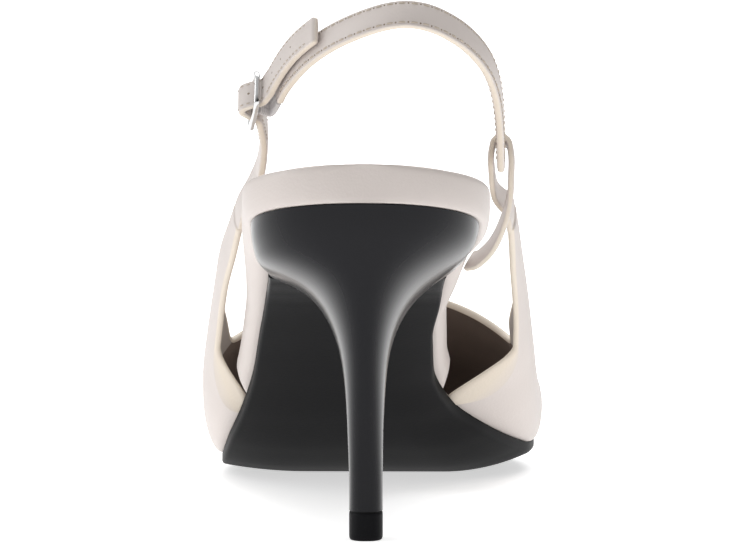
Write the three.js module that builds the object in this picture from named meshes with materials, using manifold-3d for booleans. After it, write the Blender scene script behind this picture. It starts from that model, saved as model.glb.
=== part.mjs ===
// Pointed toe slingback shoe with a stiletto heel, a left shoe, in millimetres.
// +Y runs from the heel to the toe, +X points to the inner (medial) side and +Z points up.
// The origin is the centre of the top lift's walking face, on the floor.
import * as THREE from 'three';
import { mergeVertices } from 'three/addons/utils/BufferGeometryUtils.js';
import Module from 'manifold-3d';

const wasm = await Module();
wasm.setup();

// Driving sizes of the whole shoe
const shoeLength = 247;
const ballWidth = 80;
const heelHeight = 82;
const instepHeight = 43.5;
const seatRadius = 30;
const heelSetback = 22;
const breastReach = 72;
const toeRadius = 6;

// Thicknesses
const outsoleThickness = 2.5;
const footbedThickness = 8.7;
const upperWall = 1.8;
const lateralRise = 2;
const medialRise = 5;
const fit = 0.3;
const flatShare = 0.45;

// Heel and top lift
const heelWidth = 27.4;
const stemWidth = 8;
const liftDepth = 8.8;
const liftHeight = 6.7;

// Straps, elastic and buckle
const strapWidth = 7;
const strapThickness = 2;
const loopWidth = 5.6;
const loopThickness = 1.6;
const slingRise = 44;
const slingTop = heelHeight + slingRise;
const slingSlope = 0.675;
const slingSpan = 28.5;
const slingCentre = 2.9;
const slingReach = 50;
const elasticWidth = 6.4;
const elasticThickness = 1.6;
const buckleLength = 14;
const buckleHeight = 10.9;
const buckleBar = 1.6;
const buckleThickness = 1.3;
const centreBar = 1.2;
const buckleTurn = 8.3;
const prongThickness = 1.1;

// Fineness of the curved surfaces
const stations = 24;
const seatSteps = 7;
const toeSteps = 5;
const acrossSteps = 12;

const cream = new THREE.MeshStandardMaterial({ color: 0xd9d0cc, roughness: 0.5, metalness: 0 });
const black = new THREE.MeshStandardMaterial({ color: 0x1b1b1d, roughness: 0.55, metalness: 0 });
const gloss = new THREE.MeshStandardMaterial({ color: 0x2a2a2f, roughness: 0.15, metalness: 0 });
const silver = new THREE.MeshStandardMaterial({ color: 0xc8c8ca, roughness: 0.15, metalness: 1 });
const grey = new THREE.MeshStandardMaterial({ color: 0x9c9896, roughness: 0.8, metalness: 0 });

// Shoe bottom: rows from the back of the seat (along 0) to the toe's tip (along 1).
// height is a share of the heel's height; lateral, medial and flare are shares of the ball's width;
// rise is a share of the rise of both edges; thick is a share of the footbed's thickness.
const bottomRows = [
  { along: 0.000, height: 1.000, lateral: 0.340, medial: 0.338, flare: 0.025, rise: 0.0, thick: 1.00 },
  { along: 0.090, height: 0.929, lateral: 0.343, medial: 0.341, flare: 0.025, rise: 0.0, thick: 1.00 },
  { along: 0.190, height: 0.838, lateral: 0.340, medial: 0.328, flare: 0.036, rise: 0.0, thick: 1.00 },
  { along: 0.250, height: 0.775, lateral: 0.322, medial: 0.280, flare: 0.060, rise: 0.0, thick: 0.98 },
  { along: 0.292, height: 0.728, lateral: 0.306, medial: 0.231, flare: 0.078, rise: 0.0, thick: 0.97 },
  { along: 0.356, height: 0.612, lateral: 0.321, medial: 0.208, flare: 0.060, rise: 0.1, thick: 0.93 },
  { along: 0.413, height: 0.489, lateral: 0.344, medial: 0.184, flare: 0.042, rise: 0.2, thick: 0.87 },
  { along: 0.474, height: 0.348, lateral: 0.369, medial: 0.185, flare: 0.040, rise: 0.4, thick: 0.78 },
  { along: 0.534, height: 0.212, lateral: 0.411, medial: 0.236, flare: 0.034, rise: 0.6, thick: 0.66 },
  { along: 0.595, height: 0.098, lateral: 0.456, medial: 0.350, flare: 0.020, rise: 0.8, thick: 0.50 },
  { along: 0.656, height: 0.023, lateral: 0.480, medial: 0.440, flare: 0.012, rise: 1.0, thick: 0.38 },
  { along: 0.700, height: 0.000, lateral: 0.487, medial: 0.480, flare: 0.010, rise: 1.0, thick: 0.33 },
  { along: 0.740, height: 0.000, lateral: 0.482, medial: 0.490, flare: 0.010, rise: 1.0, thick: 0.31 },
  { along: 0.820, height: 0.000, lateral: 0.410, medial: 0.437, flare: 0.010, rise: 0.8, thick: 0.30 },
  { along: 0.880, height: 0.012, lateral: 0.305, medial: 0.352, flare: 0.008, rise: 0.6, thick: 0.30 },
  { along: 0.940, height: 0.042, lateral: 0.172, medial: 0.238, flare: 0.006, rise: 0.4, thick: 0.30 },
  { along: 0.980, height: 0.070, lateral: 0.064, medial: 0.134, flare: 0.004, rise: 0.2, thick: 0.30 },
  { along: 1.000, height: 0.086, lateral: 0.020, medial: 0.090, flare: 0.004, rise: 0.1, thick: 0.30 },
];

// Last round the foot: wideLateral and wideMedial are shares of the ball's width, belly (the height of
// the widest place) and crest (the height of the ridge) are shares of the instep's height.
const lastRows = [
  { along: 0.300, wideLateral: 0.395, wideMedial: 0.432, belly: 0.34, crest: 1.45 },
  { along: 0.356, wideLateral: 0.430, wideMedial: 0.447, belly: 0.35, crest: 1.38 },
  { along: 0.413, wideLateral: 0.466, wideMedial: 0.460, belly: 0.37, crest: 1.28 },
  { along: 0.474, wideLateral: 0.493, wideMedial: 0.477, belly: 0.38, crest: 1.16 },
  { along: 0.534, wideLateral: 0.518, wideMedial: 0.490, belly: 0.38, crest: 1.08 },
  { along: 0.595, wideLateral: 0.537, wideMedial: 0.501, belly: 0.35, crest: 1.02 },
  { along: 0.656, wideLateral: 0.541, wideMedial: 0.511, belly: 0.33, crest: 1.00 },
  { along: 0.700, wideLateral: 0.537, wideMedial: 0.516, belly: 0.32, crest: 0.99 },
  { along: 0.740, wideLateral: 0.523, wideMedial: 0.513, belly: 0.30, crest: 0.91 },
  { along: 0.800, wideLateral: 0.465, wideMedial: 0.480, belly: 0.28, crest: 0.76 },
  { along: 0.860, wideLateral: 0.372, wideMedial: 0.408, belly: 0.24, crest: 0.60 },
  { along: 0.920, wideLateral: 0.244, wideMedial: 0.300, belly: 0.19, crest: 0.44 },
  { along: 0.965, wideLateral: 0.128, wideMedial: 0.196, belly: 0.14, crest: 0.31 },
  { along: 1.000, wideLateral: 0.036, wideMedial: 0.108, belly: 0.09, crest: 0.20 },
];

// Edges of the upper seen from the side, from the throat back to the ankle. along is a share of the
// shoe's length and height a share of the heel's height, both measured from the shoe's back and floor.
const toplineRows = [
  { along: 0.706, height: 0.640 },
  { along: 0.700, height: 0.548 },
  { along: 0.684, height: 0.462 },
  { along: 0.664, height: 0.428 },
  { along: 0.636, height: 0.440 },
  { along: 0.595, height: 0.495 },
  { along: 0.534, height: 0.590 },
  { along: 0.454, height: 0.708 },
  { along: 0.393, height: 0.807 },
];
const cutawayRows = [
  { along: 0.556, height: 0.120 },
  { along: 0.546, height: 0.250 },
  { along: 0.519, height: 0.365 },
  { along: 0.480, height: 0.470 },
  { along: 0.421, height: 0.612 },
  { along: 0.362, height: 0.738 },
];

// Heel: planes from the seat down to the stem. backY and frontY are shares of the breast's reach, backZ
// and frontZ shares of the heel's height, widths shares of the heel's half width, and full is the share
// of the depth at which the heel is widest.
const heelRows = [
  { backY: 0.014, backZ: 1.040, frontY: 1.000, frontZ: 0.780, full: 0.42,
    lateral: 1.000, medial: 0.985, frontLateral: 0.894, frontMedial: 0.675 },
  { backY: 0.018, backZ: 0.975, frontY: 1.000, frontZ: 0.720, full: 0.42,
    lateral: 0.996, medial: 0.960, frontLateral: 0.885, frontMedial: 0.665 },
  { backY: 0.026, backZ: 0.910, frontY: 0.992, frontZ: 0.700, full: 0.45,
    lateral: 0.970, medial: 0.880, frontLateral: 0.850, frontMedial: 0.640 },
  { backY: 0.047, backZ: 0.845, frontY: 0.945, frontZ: 0.688, full: 0.52,
    lateral: 0.880, medial: 0.720, frontLateral: 0.730, frontMedial: 0.560 },
  { backY: 0.072, backZ: 0.782, frontY: 0.850, frontZ: 0.662, full: 0.65,
    lateral: 0.610, medial: 0.520, frontLateral: 0.520, frontMedial: 0.440 },
  { backY: 0.106, backZ: 0.702, frontY: 0.715, frontZ: 0.624, full: 0.75,
    lateral: 0.405, medial: 0.355, frontLateral: 0.385, frontMedial: 0.335 },
  { backY: 0.143, backZ: 0.614, frontY: 0.600, frontZ: 0.575, full: 0.75,
    lateral: 0.292, medial: 0.255, frontLateral: 0.280, frontMedial: 0.242 },
  { backY: 0.177, backZ: 0.520, frontY: 0.510, frontZ: 0.516, full: 0.70,
    lateral: 0.222, medial: 0.196, frontLateral: 0.212, frontMedial: 0.187 },
  { backY: 0.207, backZ: 0.416, frontY: 0.440, frontZ: 0.430, full: 0.65,
    lateral: 0.182, medial: 0.166, frontLateral: 0.172, frontMedial: 0.156 },
  { backY: 0.230, backZ: 0.290, frontY: 0.396, frontZ: 0.300, full: 0.62,
    lateral: 0.159, medial: 0.150, frontLateral: 0.150, frontMedial: 0.141 },
];

// Straps seen from above, all in the sling's own sloping plane. across is a share of half the sling's
// span from the sling's middle, and along a share of the sling's reach from the sling's back.
const slingRows = [
  { across: -0.825, along: 0.605 },
  { across: -0.786, along: 0.535 },
  { across: -0.700, along: 0.430 },
  { across: -0.560, along: 0.300 },
  { across: -0.350, along: 0.170 },
  { across: -0.100, along: 0.068 },
  { across: 0.100, along: 0.014 },
  { across: 0.260, along: 0.000 },
  { across: 0.440, along: 0.030 },
  { across: 0.655, along: 0.130 },
  { across: 0.800, along: 0.245 },
  { across: 0.905, along: 0.380 },
  { across: 0.970, along: 0.550 },
  { across: 1.000, along: 0.760 },
  { across: 1.010, along: 1.150 },
];
const buckleStrapRows = [
  { across: -1.200, along: 1.600 },
  { across: -1.108, along: 1.400 },
  { across: -1.016, along: 1.210 },
  { across: -0.978, along: 1.030 },
  { across: -0.972, along: 0.930 },
];
// The strap's way under the front bar, over the centre bar and under the rear bar: run is a share of the
// way from the centre bar to the front bar, and out of the strap's depth inside or height outside the bars.
const buckleWay = [
  { run: 1.10, out: -1.00 },
  { run: 0.70, out: -0.66 },
  { run: 0.38, out: 0.42 },
  { run: 0.13, out: 0.97 },
  { run: -0.13, out: 0.97 },
  { run: -0.38, out: 0.42 },
  { run: -0.70, out: -0.66 },
  { run: -1.10, out: -1.00 },
];
// The strap's free end along the sling's outer side: place is a share of the sling from its lateral end,
// clear the gap in clearances, and lift how far it rides up, a share of its width.
const freeEndRows = [
  { place: 0.024, clear: 2.6, lift: 0.09 },
  { place: 0.064, clear: 1.6, lift: 0.23 },
  { place: 0.112, clear: 1.4, lift: 0.33 },
  { place: 0.160, clear: 1.6, lift: 0.35 },
  { place: 0.206, clear: 2.2, lift: 0.36 },
];
// The loop's strap leaves the footbed's edge, climbs on the outer side of the sling's end, turns over
// the sling's front edge, comes down on the inner side and crosses behind itself to the medial wing.
// across is as above, along a share of the sling's reach, height a share of the heel's height, and turn
// the angle in degrees of the strap's width over the floor.
const loopRows = [
  { across: 0.811, along: 1.586, height: 0.752, turn: 30 },
  { across: 0.933, along: 1.480, height: 0.799, turn: 34 },
  { across: 1.028, along: 1.370, height: 0.872, turn: 36 },
  { across: 1.084, along: 1.280, height: 0.951, turn: 31 },
  { across: 1.095, along: 1.226, height: 1.018, turn: 22 },
  { across: 1.095, along: 1.196, height: 1.080, turn: 10 },
  { across: 1.072, along: 1.200, height: 1.110, turn: -25 },
  { across: 1.010, along: 1.205, height: 1.121, turn: -34 },
  { across: 0.948, along: 1.200, height: 1.110, turn: -25 },
  { across: 0.925, along: 1.196, height: 1.080, turn: 10 },
  { across: 0.930, along: 1.250, height: 1.030, turn: 40 },
  { across: 0.944, along: 1.345, height: 0.981, turn: 52 },
  { across: 0.980, along: 1.445, height: 0.937, turn: 56 },
  { across: 1.050, along: 1.530, height: 0.904, turn: 56 },
  { across: 1.098, along: 1.598, height: 0.877, turn: 56 },
];
const loopFoot = { along: 0.334, height: 0.742, turn: 28 };
const buckleAt = { across: -1.042, along: 0.674 };
const wingEndAlong = 1.606;

const group = new THREE.Group();

// Turns a closed geometry into a solid once its shared corners are merged.
function solidOf(geometry) {
  const bare = geometry.clone();
  for (const name of Object.keys(bare.attributes)) {
    if (name !== 'position') bare.deleteAttribute(name);
  }
  const merged = mergeVertices(bare, 1e-4);
  return new wasm.Manifold(new wasm.Mesh({
    numProp: 3,
    vertProperties: new Float32Array(merged.attributes.position.array),
    triVerts: new Uint32Array(merged.index.array),
  }));
}

// Adds a solid to the shoe as one named mesh.
function addMesh(name, solid, material) {
  const source = solid.getMesh();
  const geometry = new THREE.BufferGeometry();
  geometry.setAttribute('position', new THREE.BufferAttribute(new Float32Array(source.vertProperties), 3));
  geometry.setIndex(new THREE.BufferAttribute(new Uint32Array(source.triVerts), 1));
  geometry.computeVertexNormals();
  const mesh = new THREE.Mesh(geometry, material);
  mesh.name = name;
  group.add(mesh);
  return mesh;
}

// Skins a row of closed loops with the same number of corners and closes both ends.
function skin(loops) {
  const count = loops[0].length;
  const positions = loops.flatMap((loop) => loop.flatMap((corner) => [corner.x, corner.y, corner.z]));
  const faces = [];
  for (let row = 0; row + 1 < loops.length; row += 1) {
    for (let side = 0; side < count; side += 1) {
      const here = row * count + side;
      const next = row * count + (side + 1) % count;
      faces.push(here, next, next + count, here, next + count, here + count);
    }
  }
  for (const [row, turned] of [[0, true], [loops.length - 1, false]]) {
    const loop = loops[row];
    const middle = new THREE.Vector3();
    loop.forEach((corner) => middle.addScaledVector(corner, 1 / count));
    const hub = positions.length / 3;
    positions.push(middle.x, middle.y, middle.z);
    for (let side = 0; side < count; side += 1) {
      const here = row * count + side;
      const next = row * count + (side + 1) % count;
      faces.push(...(turned ? [hub, next, here] : [hub, here, next]));
    }
  }
  const geometry = new THREE.BufferGeometry();
  geometry.setAttribute('position', new THREE.BufferAttribute(new Float32Array(positions), 3));
  geometry.setIndex(faces);
  return geometry;
}

// Reads one column of a table at a place between its rows, on a smooth curve that never overshoots.
function reading(rows, column, place, key = 'along') {
  const last = rows.length - 1;
  let row = 0;
  while (row < last - 1 && place > rows[row + 1][key]) row += 1;
  const slope = (at) => (rows[at + 1][column] - rows[at][column]) / (rows[at + 1][key] - rows[at][key]);
  const tangent = (at) => {
    if (at === 0) return slope(0);
    if (at === last) return slope(last - 1);
    const before = slope(at - 1);
    const after = slope(at);
    return before * after <= 0 ? 0 : 2 * before * after / (before + after);
  };
  const span = rows[row + 1][key] - rows[row][key];
  const t = THREE.MathUtils.clamp((place - rows[row][key]) / span, 0, 1);
  const from = (1 + 2 * t) * (1 - t) ** 2 * rows[row][column] + t * (1 - t) ** 2 * span * tangent(row);
  const to = t * t * (3 - 2 * t) * rows[row + 1][column] - t * t * (1 - t) * span * tangent(row + 1);
  return from + to;
}

const lengthwise = (along) => along * shoeLength - heelSetback;

// Share of the full width left at a distance from a round end.
function roundEnd(distance, radius) {
  const depth = THREE.MathUtils.clamp(distance / radius, 0, 1);
  return Math.sqrt(1 - (1 - depth) ** 2);
}

// Underside of the footbed along the middle of the shoe.
function boardHeight(along) {
  const tread = outsoleThickness + fit;
  return tread + (heelHeight - tread) * reading(bottomRows, 'height', along);
}

// Outline of the shoe's bottom at one place: how far it reaches to both sides, moved in by an inset.
function bottomReach(along, inset) {
  const lateral = reading(bottomRows, 'lateral', along) * ballWidth;
  const medial = reading(bottomRows, 'medial', along) * ballWidth;
  const middle = (medial - lateral) / 2;
  const start = inset / shoeLength;
  const fromBack = (along - start) * shoeLength;
  const fromToe = (1 - start - along) * shoeLength;
  const share = roundEnd(fromBack, seatRadius) * roundEnd(fromToe, toeRadius);
  const half = Math.max(((medial + lateral) / 2 - inset) * share, 0.05);
  return { middle, half, lateral: middle - half, medial: middle + half };
}

// Overhang of the footbed's top edge past its underside.
function flareAt(along) {
  return reading(bottomRows, 'flare', along) * ballWidth;
}

// Height that the bottom gains towards its edges, so that the tread is rounded across and flat between.
function riseAt(along, x) {
  const outline = bottomReach(along, 0);
  const share = Math.abs(x - outline.middle) / Math.max(outline.half, 1);
  const outer = THREE.MathUtils.clamp((share - flatShare) / (1 - flatShare), 0, 1.2);
  const rise = x < outline.middle ? lateralRise : medialRise;
  return reading(bottomRows, 'rise', along) * rise * outer * outer;
}

// Places along the shoe, closer together towards both ends.
function places(from, to, count) {
  return Array.from({ length: count + 1 }, (unused, step) => {
    const t = step / count;
    const eased = t - 0.6 * Math.sin(2 * Math.PI * t) / (2 * Math.PI);
    return from + (to - from) * eased;
  });
}

// Distances from a round end, spaced evenly round its arc.
function roundPlaces(radius, count) {
  return Array.from({ length: count + 1 }, (unused, step) => (
    radius / shoeLength * (1 - Math.cos(step / count * Math.PI / 2))));
}

// Shared places of the seat and of the sole, so that pieces that lie on each other keep their gap.
const breast = breastReach / shoeLength;
const tuckFrom = 0.495;
const tuckTo = 0.545;
const seatPlaces = [...roundPlaces(seatRadius, seatSteps), ...places(seatRadius / shoeLength, breast, 5).slice(1)];
const toePlaces = roundPlaces(toeRadius, toeSteps).map((back) => 1 - back).reverse();
const solePlaces = [...places(breast, toePlaces[0], stations), ...toePlaces.slice(1)];

// Shares across, from one side to the other.
const across = Array.from({ length: acrossSteps + 1 }, (unused, step) => -1 + 2 * step / acrossSteps);

// Steepness of the shoe's bottom, which thins a plate measured upright.
function upright(along) {
  const step = 0.002;
  const climb = (boardHeight(Math.max(along - step, 0)) - boardHeight(Math.min(along + step, 1)))
    / (2 * step * shoeLength);
  return Math.hypot(1, climb);
}

function outsole() {
  const loops = solePlaces.map((along) => {
    const reach = bottomReach(along, 0);
    const y = lengthwise(along);
    const thick = outsoleThickness * upright(along);
    const point = (share, drop) => {
      const x = reach.middle + share * reach.half;
      return new THREE.Vector3(x, y, boardHeight(along) - fit + riseAt(along, x) - drop);
    };
    const bottomLine = across.map((share) => point(share * (1 - 0.6 / Math.max(reach.half, 2)), thick));
    const topLine = across.map((share) => point(share, 0)).reverse();
    return [...bottomLine, ...topLine].reverse();
  });
  return solidOf(skin(loops));
}

// Share by which the footbed is drawn in where the upper wraps round its edge.
function tuck(along) {
  return THREE.MathUtils.smoothstep(along, tuckFrom, tuckTo);
}

function footbed() {
  const sideSteps = 4;
  const toeEnd = 1 - (1.3 * upperWall + 2 * fit) / shoeLength;
  const forward = solePlaces.slice(1).filter((along) => along < toeEnd);
  const loops = [...seatPlaces, ...forward, toeEnd].map((along) => {
    const reach = bottomReach(along, tuck(along) * (upperWall + 4 * fit));
    const flare = flareAt(along) * (1 - tuck(along));
    const thick = reading(bottomRows, 'thick', along) * footbedThickness;
    const y = lengthwise(along);
    const under = across.map((share) => {
      const x = reach.middle + share * reach.half;
      return new THREE.Vector3(x, y, boardHeight(along) + riseAt(along, x));
    });
    const side = (edge, way) => Array.from({ length: sideSteps }, (unused, step) => {
      const angle = (step + 1) / sideSteps * Math.PI / 2;
      const lift = 0.9 * thick * (1 - Math.cos(angle));
      return new THREE.Vector3(edge + way * flare * Math.sin(angle), y,
        boardHeight(along) + riseAt(along, edge) + lift);
    });
    const lateralSide = side(reach.lateral, -1);
    const medialSide = side(reach.medial, 1);
    const top = (x) => new THREE.Vector3(x, y, boardHeight(along) + riseAt(along, x) * 0.5 + thick);
    const inwards = Math.min(1.4, reach.half * 0.3);
    const topLine = [0, 0.25, 0.5, 0.75, 1].map((share) => top(THREE.MathUtils.lerp(
      reach.medial + flare - inwards, reach.lateral - flare + inwards, share)));
    return [...under, ...medialSide, ...topLine, ...lateralSide.reverse()].reverse();
  });
  return solidOf(skin(loops));
}

// One ring of the last: from the lateral feather edge over the ridge to the medial feather edge.
function lastRing(along) {
  const reach = bottomReach(along, fit);
  const outline = bottomReach(along, 0);
  const fullHalf = (reading(bottomRows, 'lateral', along) + reading(bottomRows, 'medial', along)) * ballWidth / 2;
  const narrow = outline.half / fullHalf;
  const nose = Math.sqrt(narrow);
  const belly = reading(lastRows, 'belly', along) * instepHeight * nose;
  const crest = reading(lastRows, 'crest', along) * instepHeight * nose;
  const base = boardHeight(along);
  const y = lengthwise(along);
  const lowSteps = 4;
  const highSteps = 7;
  const quarter = (edge, wide, way) => {
    const foot = riseAt(along, edge);
    const bulge = Math.max((wide - way * outline.middle) * narrow - way * (edge - outline.middle), 0.4);
    const low = Array.from({ length: lowSteps }, (unused, step) => {
      const angle = step / lowSteps * Math.PI / 2;
      const lift = foot + (belly - foot) * (1 - Math.cos(angle));
      return new THREE.Vector3(edge + way * bulge * Math.sin(angle), y, base + lift);
    });
    const side = edge + way * bulge;
    const high = Array.from({ length: highSteps }, (unused, step) => {
      const angle = step / highSteps * Math.PI / 2;
      const x = outline.middle + (side - outline.middle) * Math.cos(angle);
      return new THREE.Vector3(x, y, base + belly + Math.max(crest - belly, 0.3) * Math.sin(angle));
    });
    return [...low, ...high];
  };
  const lateralSide = quarter(reach.lateral, reading(lastRows, 'wideLateral', along) * ballWidth, -1);
  const medialSide = quarter(reach.medial, reading(lastRows, 'wideMedial', along) * ballWidth, 1);
  const ridge = new THREE.Vector3(outline.middle, y, base + Math.max(crest, belly + 0.3));
  return [...lateralSide, ridge, ...medialSide.reverse()];
}

// The ring moved inwards by a wall, square to itself, and carried on below the feather edges.
function innerRing(ring, wall) {
  const moved = ring.map((corner, index) => {
    const before = ring[Math.max(index - 1, 0)];
    const after = ring[Math.min(index + 1, ring.length - 1)];
    const run = new THREE.Vector3().subVectors(after, before).normalize();
    return corner.clone().add(new THREE.Vector3(run.z * wall, 0, -run.x * wall));
  });
  const deeper = (corner, edge) => new THREE.Vector3(corner.x, corner.y, edge.z - 2 * wall);
  return [deeper(moved[0], ring[0]), ...moved, deeper(moved[moved.length - 1], ring[ring.length - 1])];
}

// Last as a closed body, its underside following the sole.
function lastBody(wall, start, end) {
  const between = solePlaces.filter((along) => along > start && along < end);
  const loops = [start, ...between, end].map((along) => {
    const outerRing = lastRing(along);
    const ring = wall > 0 ? innerRing(outerRing, wall) : outerRing;
    const first = ring[0];
    const last = ring[ring.length - 1];
    const under = across.slice(1, -1).map((share) => {
      const x = THREE.MathUtils.lerp(last.x, first.x, (share + 1) / 2);
      return new THREE.Vector3(x, first.y, boardHeight(along) + riseAt(along, x) - 2 * wall);
    });
    return [...ring, ...under];
  });
  return solidOf(skin(loops));
}

// Block whose side view is an outline of (y, z) corners and which reaches from one x to another.
function sideBlock(corners, fromX, toX) {
  const shape = new THREE.Shape(corners.map(([y, z]) => new THREE.Vector2(y, z)));
  const geometry = new THREE.ExtrudeGeometry(shape, { depth: toX - fromX, bevelEnabled: false, steps: 1 });
  geometry.applyMatrix4(new THREE.Matrix4().makeBasis(
    new THREE.Vector3(0, 1, 0), new THREE.Vector3(0, 0, 1), new THREE.Vector3(1, 0, 0)));
  geometry.translate(fromX, 0, 0);
  return solidOf(geometry);
}

// Rounds a table of edge rows, with one more corner at its end, into a polyline in the side view.
function sideLine(rows, end, count) {
  const corners = rows.map((row) => new THREE.Vector2(lengthwise(row.along), row.height * heelHeight));
  const curve = new THREE.SplineCurve([...corners, new THREE.Vector2(end.y, end.z)]);
  return curve.getPoints(count).map((point) => [point.x, point.y]);
}

function upper() {
  const start = lastRows[0].along;
  const outer = lastBody(0, start, 1);
  const inner = lastBody(upperWall, start - upperWall / shoeLength, 1 - 1.3 * upperWall / shoeLength);
  const wingEnd = inPlane(0, wingEndAlong * slingReach - heelSetback);
  const halfWing = strapUp.clone().multiplyScalar(strapWidth / 2 + fit);
  const upperEnd = wingEnd.clone().add(halfWing);
  const lowerEnd = wingEnd.clone().sub(halfWing);
  const topline = sideLine(toplineRows, upperEnd, 36);
  const cutaway = sideLine(cutawayRows, lowerEnd, 22);
  const toeEnd = lengthwise(1) + seatRadius;
  const keep = sideBlock([...topline, ...cutaway.reverse(),
    [cutaway[cutaway.length - 1][0], -outsoleThickness], [toeEnd, -outsoleThickness],
    [toeEnd, heelHeight], [topline[0][0], heelHeight]], -ballWidth, ballWidth);
  return outer.subtract(inner).intersect(keep);
}

function heel() {
  const breastEnd = breastReach - fit;
  const loops = heelRows.map((row) => {
    const back = new THREE.Vector3(0, row.backY * breastReach - heelSetback, row.backZ * heelHeight);
    const front = new THREE.Vector3(0, row.frontY * breastEnd - heelSetback, row.frontZ * heelHeight);
    return heelRing(back, front, row);
  });
  loops.push(stemRing(2 * liftHeight), stemRing(liftHeight + fit));
  const cutLoops = [-seatRadius / shoeLength, ...seatPlaces, breast + fit / shoeLength].map((along) => {
    const y = lengthwise(along);
    const z = boardHeight(Math.max(along, 0)) - fit;
    return [[-1, 1], [1, 1], [1, 0], [-1, 0]].map(([way, top]) => new THREE.Vector3(
      way * ballWidth, y, z + top * heelHeight));
  });
  return solidOf(skin(loops)).subtract(solidOf(skin(cutLoops)));
}

// Ring of the heel in a plane that leans from its back to its front: round behind, flat at the breast.
function heelRing(back, front, row) {
  const roundSteps = 7;
  const side = (reach, frontReach, way) => {
    const round = Array.from({ length: roundSteps }, (unused, step) => {
      const angle = (step + 1) / roundSteps * Math.PI / 2;
      return [way * reach * heelWidth * Math.sin(angle) ** 0.9, row.full * (1 - Math.cos(angle) ** 0.9)];
    });
    return [...round, [way * (reach + frontReach) / 2 * heelWidth, (1 + row.full) / 2],
      [way * frontReach * heelWidth, 1]];
  };
  const medialSide = side(row.medial, row.frontMedial, 1);
  const lateralSide = side(row.lateral, row.frontLateral, -1).reverse();
  return [[0, 0], ...medialSide, ...lateralSide].map(([x, share]) => {
    const corner = new THREE.Vector3().lerpVectors(back, front, share);
    return corner.setX(x);
  }).reverse();
}

// Level ring of the stem, which the top lift shares.
function stemRing(height) {
  const half = stemWidth / 2 / heelWidth;
  const row = { lateral: half, medial: half, full: 0.62, frontLateral: 0.94 * half, frontMedial: 0.94 * half };
  const back = new THREE.Vector3(0, -liftDepth / 2, height);
  return heelRing(back, new THREE.Vector3(0, liftDepth / 2, height), row);
}

function topLift() {
  return solidOf(skin([stemRing(liftHeight), stemRing(0)]));
}

// Direction square to the plane that all straps lie in.
const strapUp = new THREE.Vector3(0, slingSlope, 1).normalize();

// Place in the sling's sloping plane.
function inPlane(x, y) {
  return new THREE.Vector3(x, y, slingTop - slingSlope * (y + heelSetback));
}

function planePath(rows) {
  return new THREE.CatmullRomCurve3(rows.map((row) => inPlane(
    slingCentre + row.across * slingSpan, row.along * slingReach - heelSetback)), false, 'centripetal');
}

// Flat band of an even width carried along a path; up gives the direction of its width.
function band(curve, width, thickness, steps, up) {
  const soften = thickness * 0.25;
  const halfWidth = width / 2;
  const halfThick = thickness / 2;
  const section = [
    [-halfWidth + soften, -halfThick], [halfWidth - soften, -halfThick], [halfWidth, -halfThick + soften],
    [halfWidth, halfThick - soften], [halfWidth - soften, halfThick], [-halfWidth + soften, halfThick],
    [-halfWidth, halfThick - soften], [-halfWidth, -halfThick + soften],
  ];
  const loops = curve.getSpacedPoints(steps).map((centre, step) => {
    const t = step / steps;
    const tangent = curve.getTangentAt(t);
    const wide = up(t).clone();
    wide.addScaledVector(tangent, -wide.dot(tangent)).normalize();
    const out = new THREE.Vector3().crossVectors(tangent, wide).normalize();
    return section.map(([w, o]) => centre.clone().addScaledVector(wide, w).addScaledVector(out, o));
  });
  return solidOf(skin(loops));
}

function planeBand(rows, width, thickness, steps) {
  return band(planePath(rows), width, thickness, steps, () => strapUp);
}

// Medial loop: its foot stands at the footbed's flared edge.
function loopStrap() {
  const rear = loopFoot.along - loopWidth / 2 / shoeLength;
  const reach = bottomReach(rear, 0).medial + flareAt(rear) + 2 * fit;
  const foot = new THREE.Vector3(reach, lengthwise(loopFoot.along), loopFoot.height * heelHeight);
  const rest = loopRows.map((row) => new THREE.Vector3(slingCentre + row.across * slingSpan,
    row.along * slingReach - heelSetback, row.height * heelHeight));
  const curve = new THREE.CatmullRomCurve3([foot, ...rest], false, 'centripetal');
  const turns = [loopFoot.turn, ...loopRows.map((row) => row.turn)];
  const up = (t) => {
    const place = curve.getUtoTmapping(t) * (turns.length - 1);
    const row = Math.min(Math.floor(place), turns.length - 2);
    const turn = THREE.MathUtils.degToRad(THREE.MathUtils.lerp(turns[row], turns[row + 1], place - row));
    return new THREE.Vector3(0, Math.cos(turn), Math.sin(turn));
  };
  return band(curve, loopWidth, loopThickness, 60, up);
}

// Direction along the straps, down towards the toe.
const strapRun = new THREE.Vector3(0, 1, -slingSlope).normalize();
const outwards = new THREE.Vector3(-1, 0, 0);

const frameRun = strapRun.clone().applyAxisAngle(strapUp, THREE.MathUtils.degToRad(buckleTurn));
const frameOut = new THREE.Vector3().crossVectors(strapUp, frameRun);

function buckleCentre() {
  return inPlane(slingCentre + buckleAt.across * slingSpan, buckleAt.along * slingReach - heelSetback);
}

// A point of the buckle: run towards the wing and out from the leg, from the centre bar.
function inBuckle(run, out) {
  return buckleCentre().addScaledVector(frameRun, run).addScaledVector(frameOut, out);
}

// Rectangle with round corners.
function roundedOutline(outline, width, height, radius) {
  const x = width / 2 - radius;
  const y = height / 2 - radius;
  outline.absarc(x, y, radius, 0, Math.PI / 2);
  outline.absarc(-x, y, radius, Math.PI / 2, Math.PI);
  outline.absarc(-x, -y, radius, Math.PI, 1.5 * Math.PI);
  outline.absarc(x, -y, radius, 1.5 * Math.PI, 2 * Math.PI);
  outline.closePath();
  return outline;
}

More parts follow.
